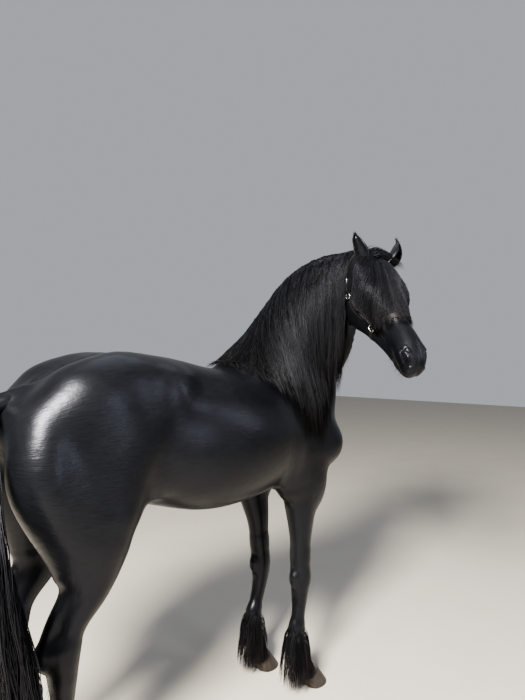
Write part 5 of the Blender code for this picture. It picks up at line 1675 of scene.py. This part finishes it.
def bridle_leather():
    """Bridle leather, vegetable tanned, dyed black and waxed: a fine pebbled grain with a soft gloss,
    a little lighter in broad random patches of wear."""
    made, tree, shader = material("waxed_bridle_leather", {
        "Roughness": .46, "Specular IOR Level": .06, "Coat Weight": .02, "Coat Roughness": .30})
    place = node(tree, "ShaderNodeTexCoord")
    grain = node(tree, "ShaderNodeTexVoronoi", {"Vector": place.outputs["Object"]}, {"Scale": 900.0})
    wear = node(tree, "ShaderNodeTexNoise", {"Vector": place.outputs["Object"]},
                {"Scale": 34.0, "Detail": 4.0, "Roughness": .6})
    paint = ramp(tree, wear.outputs["Fac"], (.35, "#050505"), (.75, "#0e0d0d"))
    tree.links.new(paint, shader.inputs["Base Color"])
    bump = node(tree, "ShaderNodeBump", {"Height": grain.outputs["Distance"]},
                {"Strength": .12, "Distance": .0004})
    tree.links.new(bump.outputs["Normal"], shader.inputs["Normal"])
    return made


LEATHER = bridle_leather()
stitch_rows = []


def leather_strap(name, points, width, shapes=HEAD_FLESH):
    """A strap laid on the flesh along points of the head's frame. Its two seams are kept for the thread."""
    line, face, _, side = strap_line(points, shapes)
    section = strap_section(width)
    rings = [np.array([p + s * a + f * (b - STRAP_SINK) for a, b in section])
             for p, f, s in zip(line, face, side)]
    piece = put(name, *loft(rings), LEATHER, "leather")
    outward(piece)
    for edge in (-1, 1):
        offset = side * edge * (width / 2 - SEAM_INSET) + face * (STRAP_THICK * .98 - STRAP_SINK)
        stitch_rows.append(line + offset)
    return piece


def cheek_line(side):
    return [(.136, side * .100, -.148), (.18, side * .100, -.150), (.24, side * .092, -.146),
            (.310, side * .078, -.140)]


def over(right_half, middle):
    """A strap's line from the right side over the middle to the left, given its right half."""
    return right_half + [middle] + [(x, -y, z) for x, y, z in right_half[::-1]]


CROWN_LINE = over([(.088, -.098, -.138), (.034, -.098, -.100), (-.004, -.092, -.060),
                   (-.024, -.060, -.012)], (-.028, 0, .002))
THROAT_LINE = over([(.104, -.096, -.166), (.080, -.078, -.225), (.066, -.040, -.262)], (.062, 0, -.268))
NOSE_LINE = over([(.338, -.074, -.124), (.360, -.060, -.060), (.374, -.036, -.010)], (.380, 0, .004))
CHIN_LINE = over([(.332, -.069, -.168), (.350, -.052, -.198)], (.356, 0, -.222))
CHEEK_WIDE, CROWN_WIDE, THROAT_WIDE, NOSE_WIDE, CHIN_WIDE = .026, .020, .014, .026, .020
for side, hand in ((1, "left"), (-1, "right")):
    cheek = leather_strap("cheek_strap_" + hand, cheek_line(side), CHEEK_WIDE)
    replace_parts(cheek, "halter_cheek_" + hand)
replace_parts(leather_strap("crown_strap", CROWN_LINE, CROWN_WIDE, FLESH), "halter_crown")
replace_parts(leather_strap("throat_strap", THROAT_LINE, THROAT_WIDE), "halter_throat")
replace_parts(leather_strap("noseband", NOSE_LINE, NOSE_WIDE), "halter_noseband")
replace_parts(leather_strap("chin_strap", CHIN_LINE, CHIN_WIDE), "halter_chin")


# The keepers. Narrow loops of the same leather, sewn round a strap close to where it meets a ring or a
# buckle, which hold its end down.
def keeper(name, points, at, width, long=.011, tall=.0022, shapes=HEAD_FLESH):
    """A narrow loop of leather round a strap, across it at a share of its length."""
    line, face, along, side = strap_line(points, shapes)
    j = int(round(at * (len(line) - 1)))
    p, f, a, s = line[j], face[j], along[j], side[j]
    w, t = width / 2 + .0014, STRAP_THICK - STRAP_SINK
    outline = [(-w, -.0006), (-w - .0008, t * .5), (-w + .0004, t + tall * .8), (-w * .5, t + tall * 1.15),
               (0, t + tall * 1.25), (w * .5, t + tall * 1.15), (w - .0004, t + tall * .8),
               (w + .0008, t * .5), (w, -.0006)]
    rings = []
    for share, shrink in ((-.5, .90), (-.42, 1.0), (.42, 1.0), (.5, .90)):
        rings.append(np.array([p + s * x * (1 if shrink == 1 else .985) + f * y * shrink + a * long * share
                               for x, y in outline]))
    outward(put(name, *loft(rings), LEATHER, "leather"))


for side, hand in ((1, "left"), (-1, "right")):
    keeper("cheek_keeper_upper_" + hand, cheek_line(side), .12, CHEEK_WIDE)
    keeper("cheek_keeper_lower_" + hand, cheek_line(side), .90, CHEEK_WIDE)
keeper("crown_keeper_right", CROWN_LINE, .19, CROWN_WIDE, shapes=FLESH)
keeper("crown_keeper_left", CROWN_LINE, .93, CROWN_WIDE, shapes=FLESH)


# The stitches. Waxed linen thread, sewn with two needles in a row along each edge of every strap, in
# short tight stitches that lie end to end.
STITCH_PITCH = 0.0042
STITCH_LONG = STITCH_PITCH * .78
STITCH_THICK = 0.00055


def waxed_thread():
    """Waxed linen thread, twisted and pulled tight: dull, a little paler than the leather."""
    made, tree, shader = material("waxed_linen_thread", {"Roughness": .7, "Specular IOR Level": .06})
    place = node(tree, "ShaderNodeTexCoord")
    twist = node(tree, "ShaderNodeTexNoise", {"Vector": place.outputs["Object"]}, {"Scale": 600.0})
    paint = ramp(tree, twist.outputs["Fac"], (0, "#090908"), (1, "#121110"))
    tree.links.new(paint, shader.inputs["Base Color"])
    return made


def stitch_tree():
    """Lays a short fat stitch at each step along the rows of thread, end to end with small gaps."""
    tree = bpy.data.node_groups.new("stitching", "GeometryNodeTree")
    sockets = tree.interface
    sockets.new_socket("Geometry", in_out="INPUT", socket_type="NodeSocketGeometry")
    for name in ("Pitch", "Length", "Thickness"):
        sockets.new_socket(name, in_out="INPUT", socket_type="NodeSocketFloat")
    sockets.new_socket("Thread", in_out="INPUT", socket_type="NodeSocketMaterial")
    sockets.new_socket("Geometry", in_out="OUTPUT", socket_type="NodeSocketGeometry")
    given = node(tree, "NodeGroupInput")
    rows = node(tree, "GeometryNodeMeshToCurve", {"Mesh": given.outputs["Geometry"]})
    even = node(tree, "GeometryNodeResampleCurve",
                {"Curve": rows.outputs["Curve"], "Length": given.outputs["Pitch"]}, mode="LENGTH")
    line = node(tree, "GeometryNodeInputTangent")
    turn = node(tree, "FunctionNodeAlignRotationToVector", {"Vector": line.outputs["Tangent"]}, axis="Z")
    grain = node(tree, "GeometryNodeMeshUVSphere", {"Radius": given.outputs["Thickness"]},
                 {"Segments": 6, "Rings": 4})
    half = node(tree, "ShaderNodeMath", {0: given.outputs["Length"], 1: given.outputs["Thickness"]},
                operation="DIVIDE")
    half = node(tree, "ShaderNodeMath", {0: half.outputs["Value"]}, {1: .5}, operation="MULTIPLY")
    size = node(tree, "ShaderNodeCombineXYZ", {"Z": half.outputs["Value"]}, {"X": 1.0, "Y": 1.0})
    long = node(tree, "GeometryNodeTransform", {"Geometry": grain.outputs["Mesh"],
                                                "Scale": size.outputs["Vector"]})
    laid = node(tree, "GeometryNodeInstanceOnPoints",
                {"Points": even.outputs["Curve"], "Instance": long.outputs["Geometry"],
                 "Rotation": turn.outputs["Rotation"]})
    real = node(tree, "GeometryNodeRealizeInstances", {"Geometry": laid.outputs["Instances"]})
    dressed = node(tree, "GeometryNodeSetMaterial",
                   {"Geometry": real.outputs["Geometry"], "Material": given.outputs["Thread"]})
    node(tree, "NodeGroupOutput", {"Geometry": dressed.outputs["Geometry"]})
    return tree


def grown(piece, tree, values):
    """Runs a tree of nodes on a piece with its inputs set, and keeps the result as a plain mesh."""
    grow = piece.modifiers.new("Grow", "NODES")
    grow.node_group = tree
    for item in tree.interface.items_tree:
        if item.in_out == "INPUT" and item.name in values:
            grow[item.identifier] = values[item.name]
    graph = bpy.context.evaluated_depsgraph_get()
    graph.update()
    mesh = bpy.data.meshes.new_from_object(piece.evaluated_get(graph))
    piece.modifiers.clear()
    piece.data = mesh


points, edges = [], []
for row in stitch_rows:
    start = len(points)
    points += (row + HOME).tolist()
    edges += [(start + i, start + i + 1) for i in range(len(row) - 1)]
mesh = bpy.data.meshes.new("stitches")
mesh.from_pydata(points, edges, [])
stitches = shown("stitches", mesh)
grown(stitches, stitch_tree(), {"Pitch": STITCH_PITCH, "Length": STITCH_LONG, "Thickness": STITCH_THICK,
                                "Thread": waxed_thread()})
stitches.data.shade_smooth()
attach(stitches, "root")


# The rings and the buckles. Round and squared rings of nickelled steel wire, bent, welded and
# polished, and a roller buckle with its tongue near each end of the crown strap.
def polished_nickel():
    """Nickel plate over polished steel: a bright, slightly warm mirror with fine rubbing scratches."""
    made, tree, shader = material("polished_nickel_plate", {
        "Metallic": 1.0, "Base Color": colour("#d2d1cd")})
    place = node(tree, "ShaderNodeTexCoord")
    rub = node(tree, "ShaderNodeTexNoise", {"Vector": place.outputs["Object"]},
               {"Scale": 420.0, "Detail": 3.0})
    polish = node(tree, "ShaderNodeMapRange", {"Value": rub.outputs["Fac"]},
                  {"From Min": .35, "From Max": .75, "To Min": .14, "To Max": .30})
    tree.links.new(polish.outputs["Result"], shader.inputs["Roughness"])
    return made


NICKEL = polished_nickel()


def wire(path, radius, sides=12):
    """Points and faces of a round wire along a closed path."""
    path = np.array(path)
    along = unit(np.roll(path, -1, 0) - np.roll(path, 1, 0))
    middle = path.mean(0)
    out = unit(path - middle - along * ((path - middle) * along).sum(1, keepdims=True))
    other = np.cross(along, out)
    turns = np.arange(sides) * 2 * math.pi / sides
    rings = [p + np.outer(np.cos(turns), o) * radius + np.outer(np.sin(turns), q) * radius
             for p, o, q in zip(path, out, other)]
    faces = []
    for k in range(len(path)):
        m = (k + 1) % len(path)
        faces += [(k * sides + b, k * sides + (b + 1) % sides, m * sides + (b + 1) % sides, m * sides + b)
                  for b in range(sides)]
    return np.vstack(rings), faces


def ring_path(at, size, lift, square=2.0, turn=0.0, count=48):
    """A ring that lies on the flesh, round at a power of 2 and squarer above it, turned in degrees."""
    middle = skin_from([at], at[2], FLESH)
    face = slope(FLESH, middle)[0]
    u = unit(HEAD.axes[0] - face * (HEAD.axes[0] @ face))
    v = np.cross(face, u)
    middle = middle[0] + face * lift
    path = []
    for a in np.arange(count) * 2 * math.pi / count + math.radians(turn):
        c, s = math.cos(a), math.sin(a)
        r = (abs(c) ** square + abs(s) ** square) ** (-1 / square)
        path.append(middle + (u * c * size[0] + v * s * size[1]) * r)
    return np.array(path)


for side, hand in ((1, "left"), (-1, "right")):
    jowl_path = ring_path((.115, side * .098, -.146), (.015, .015), .0034)
    jowl = put("jowl_ring_" + hand, *wire(jowl_path, .0026), NICKEL, "chrome")
    outward(jowl)
    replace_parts(jowl, "halter_jowl_ring_" + hand)
    nose_path = ring_path((.327, side * .074, -.138), (.016, .017), .0036, 5, 15)
    nose = put("nose_ring_" + hand, *wire(nose_path, .0028), NICKEL, "chrome")
    outward(nose)
    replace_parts(nose, "halter_nose_ring_" + hand)


def buckle(side):
    """A roller buckle on the crown strap, its frame across the strap and its tongue over it."""
    line, face, along, across = strap_line(CROWN_LINE, FLESH)
    j = int(round((.10 if side < 0 else .90) * (len(line) - 1)))
    p, f, a, s = line[j], face[j], along[j], across[j]
    p = p + f * (STRAP_THICK - STRAP_SINK + .0012)
    frame = []
    for t in np.arange(40) * 2 * math.pi / 40:
        c, d = math.cos(t), math.sin(t)
        r = (abs(c) ** 6 + abs(d) ** 6) ** (-1 / 6)
        frame.append(p + a * c * r * .0125 + s * d * r * .0140)
    hand = "left" if side > 0 else "right"
    outward(put("buckle_frame_" + hand, *wire(frame, .0016), NICKEL, "chrome"))
    roller = [p + a * .0125 + s * t for t in np.linspace(-.0105, .0105, 6)]
    rings = []
    turns = np.arange(14) * 2 * math.pi / 14
    for q in roller:
        rings.append(q + np.outer(np.cos(turns), a) * .0024 + np.outer(np.sin(turns), f) * .0024)
    outward(put("buckle_roller_" + hand, *loft(rings), NICKEL, "chrome"))
    rings = []
    for t, size in ((-.0120, .0015), (-.006, .0014), (0, .0013), (.006, .0012), (.0140, .0011)):
        q = p + a * t + f * (.0016 + .0012 * math.cos(t * 90))
        rings.append(q + np.outer(np.cos(turns), s) * size + np.outer(np.sin(turns), f) * size)
    outward(put("buckle_tongue_" + hand, *loft(rings), NICKEL, "chrome"))


buckle(-1)
buckle(1)


# The studio. A plain pale floor, a large key light high behind the camera's left shoulder, two tall
# strip lights on the horse's right, a soft top light, and the camera where the photograph was taken from.
CAMERA_PLACE = (-1.417, -1.894, 1.636)
CAMERA_YAW = 45.3          # degrees
CAMERA_PITCH = 0.1         # degrees
CAMERA_ROLL = 0.0161       # radians
CAMERA_FOCUS = 542.3       # focal length in pixels of the picture
PICTURE_HIGH = 700         # pixels
SENSOR_HIGH = 36           # millimetres
FLOOR_HALF = 14


def pale_floor():
    """Painted screed: rolled matt, pale and even, with the faint mottle of the roller."""
    made, tree, shader = material("pale_painted_floor", {"Roughness": .8})
    place = node(tree, "ShaderNodeTexCoord")
    mottle = node(tree, "ShaderNodeTexNoise", {"Vector": place.outputs["Object"]},
                  {"Scale": 2.5, "Detail": 4.0})
    paint = ramp(tree, mottle.outputs["Fac"], (0, "#938e86"), (1, "#9c978f"))
    tree.links.new(paint, shader.inputs["Base Color"])
    return made


mesh = bpy.data.meshes.new("floor")
mesh.from_pydata([(x * FLOOR_HALF, y * FLOOR_HALF, 0) for x, y in ((-1, -1), (1, -1), (1, 1), (-1, 1))],
                 [], [(0, 1, 2, 3)])
mesh.materials.append(pale_floor())
floor = shown("floor", mesh)

world = bpy.data.worlds.new("studio")
bpy.context.scene.world = world
world.use_nodes = True
sky = world.node_tree.nodes["Background"]
sky.inputs["Color"].default_value = colour("#dfe4ea")
sky.inputs["Strength"].default_value = .58


def softbox(name, place, aim, size, watts, tint):
    """A flat light at a place, aimed at another, both in the horse's own frame."""
    lamp = bpy.data.lights.new(name, "AREA")
    lamp.shape = "RECTANGLE"
    lamp.size, lamp.size_y = size
    lamp.energy = watts
    lamp.color = colour(tint)[:3]
    made = shown(name, lamp)
    made.location = Vector(place) + Vector(HOME)
    made.rotation_mode = "QUATERNION"
    made.rotation_quaternion = (Vector(aim) - Vector(place)).to_track_quat("-Z", "Y")


softbox("key", (-3.1, -1.8, 4.0), (-.2, -.1, 1.2), (1.2, 1.0), 3100, "#fff6ea")
softbox("side strip", (.6, -4.6, 2.3), (-.2, -.2, 1.2), (.5, 2.4), 70, "#eef4ff")
softbox("front strip", (2.4, -2.9, 2.9), (-.1, -.2, 1.3), (.35, 2.0), 36, "#eef4ff")
softbox("top", (.8, .6, 5.0), (.1, 0, 1.2), (3.0, 3.0), 60, "#e6eeff")

yaw, pitch = math.radians(CAMERA_YAW), math.radians(CAMERA_PITCH)
ahead = Vector((math.cos(yaw) * math.cos(pitch), math.sin(yaw) * math.cos(pitch), math.sin(pitch)))
right = Vector((math.sin(yaw), -math.cos(yaw), 0))
up = right.cross(ahead)
c, s = math.cos(CAMERA_ROLL), math.sin(CAMERA_ROLL)
right, up = right * c - up * s, right * s + up * c
lens = bpy.data.cameras.new("camera")
lens.sensor_fit = "VERTICAL"
lens.sensor_height = SENSOR_HIGH
lens.lens = CAMERA_FOCUS / PICTURE_HIGH * SENSOR_HIGH
lens.clip_end = 100
camera = shown("camera", lens)
camera.matrix_world = Matrix.Translation(Vector(CAMERA_PLACE) + Vector(HOME)) @ Matrix((
    (right.x, up.x, -ahead.x, 0), (right.y, up.y, -ahead.y, 0), (right.z, up.z, -ahead.z, 0), (0, 0, 0, 1)))
bpy.context.scene.camera = camera
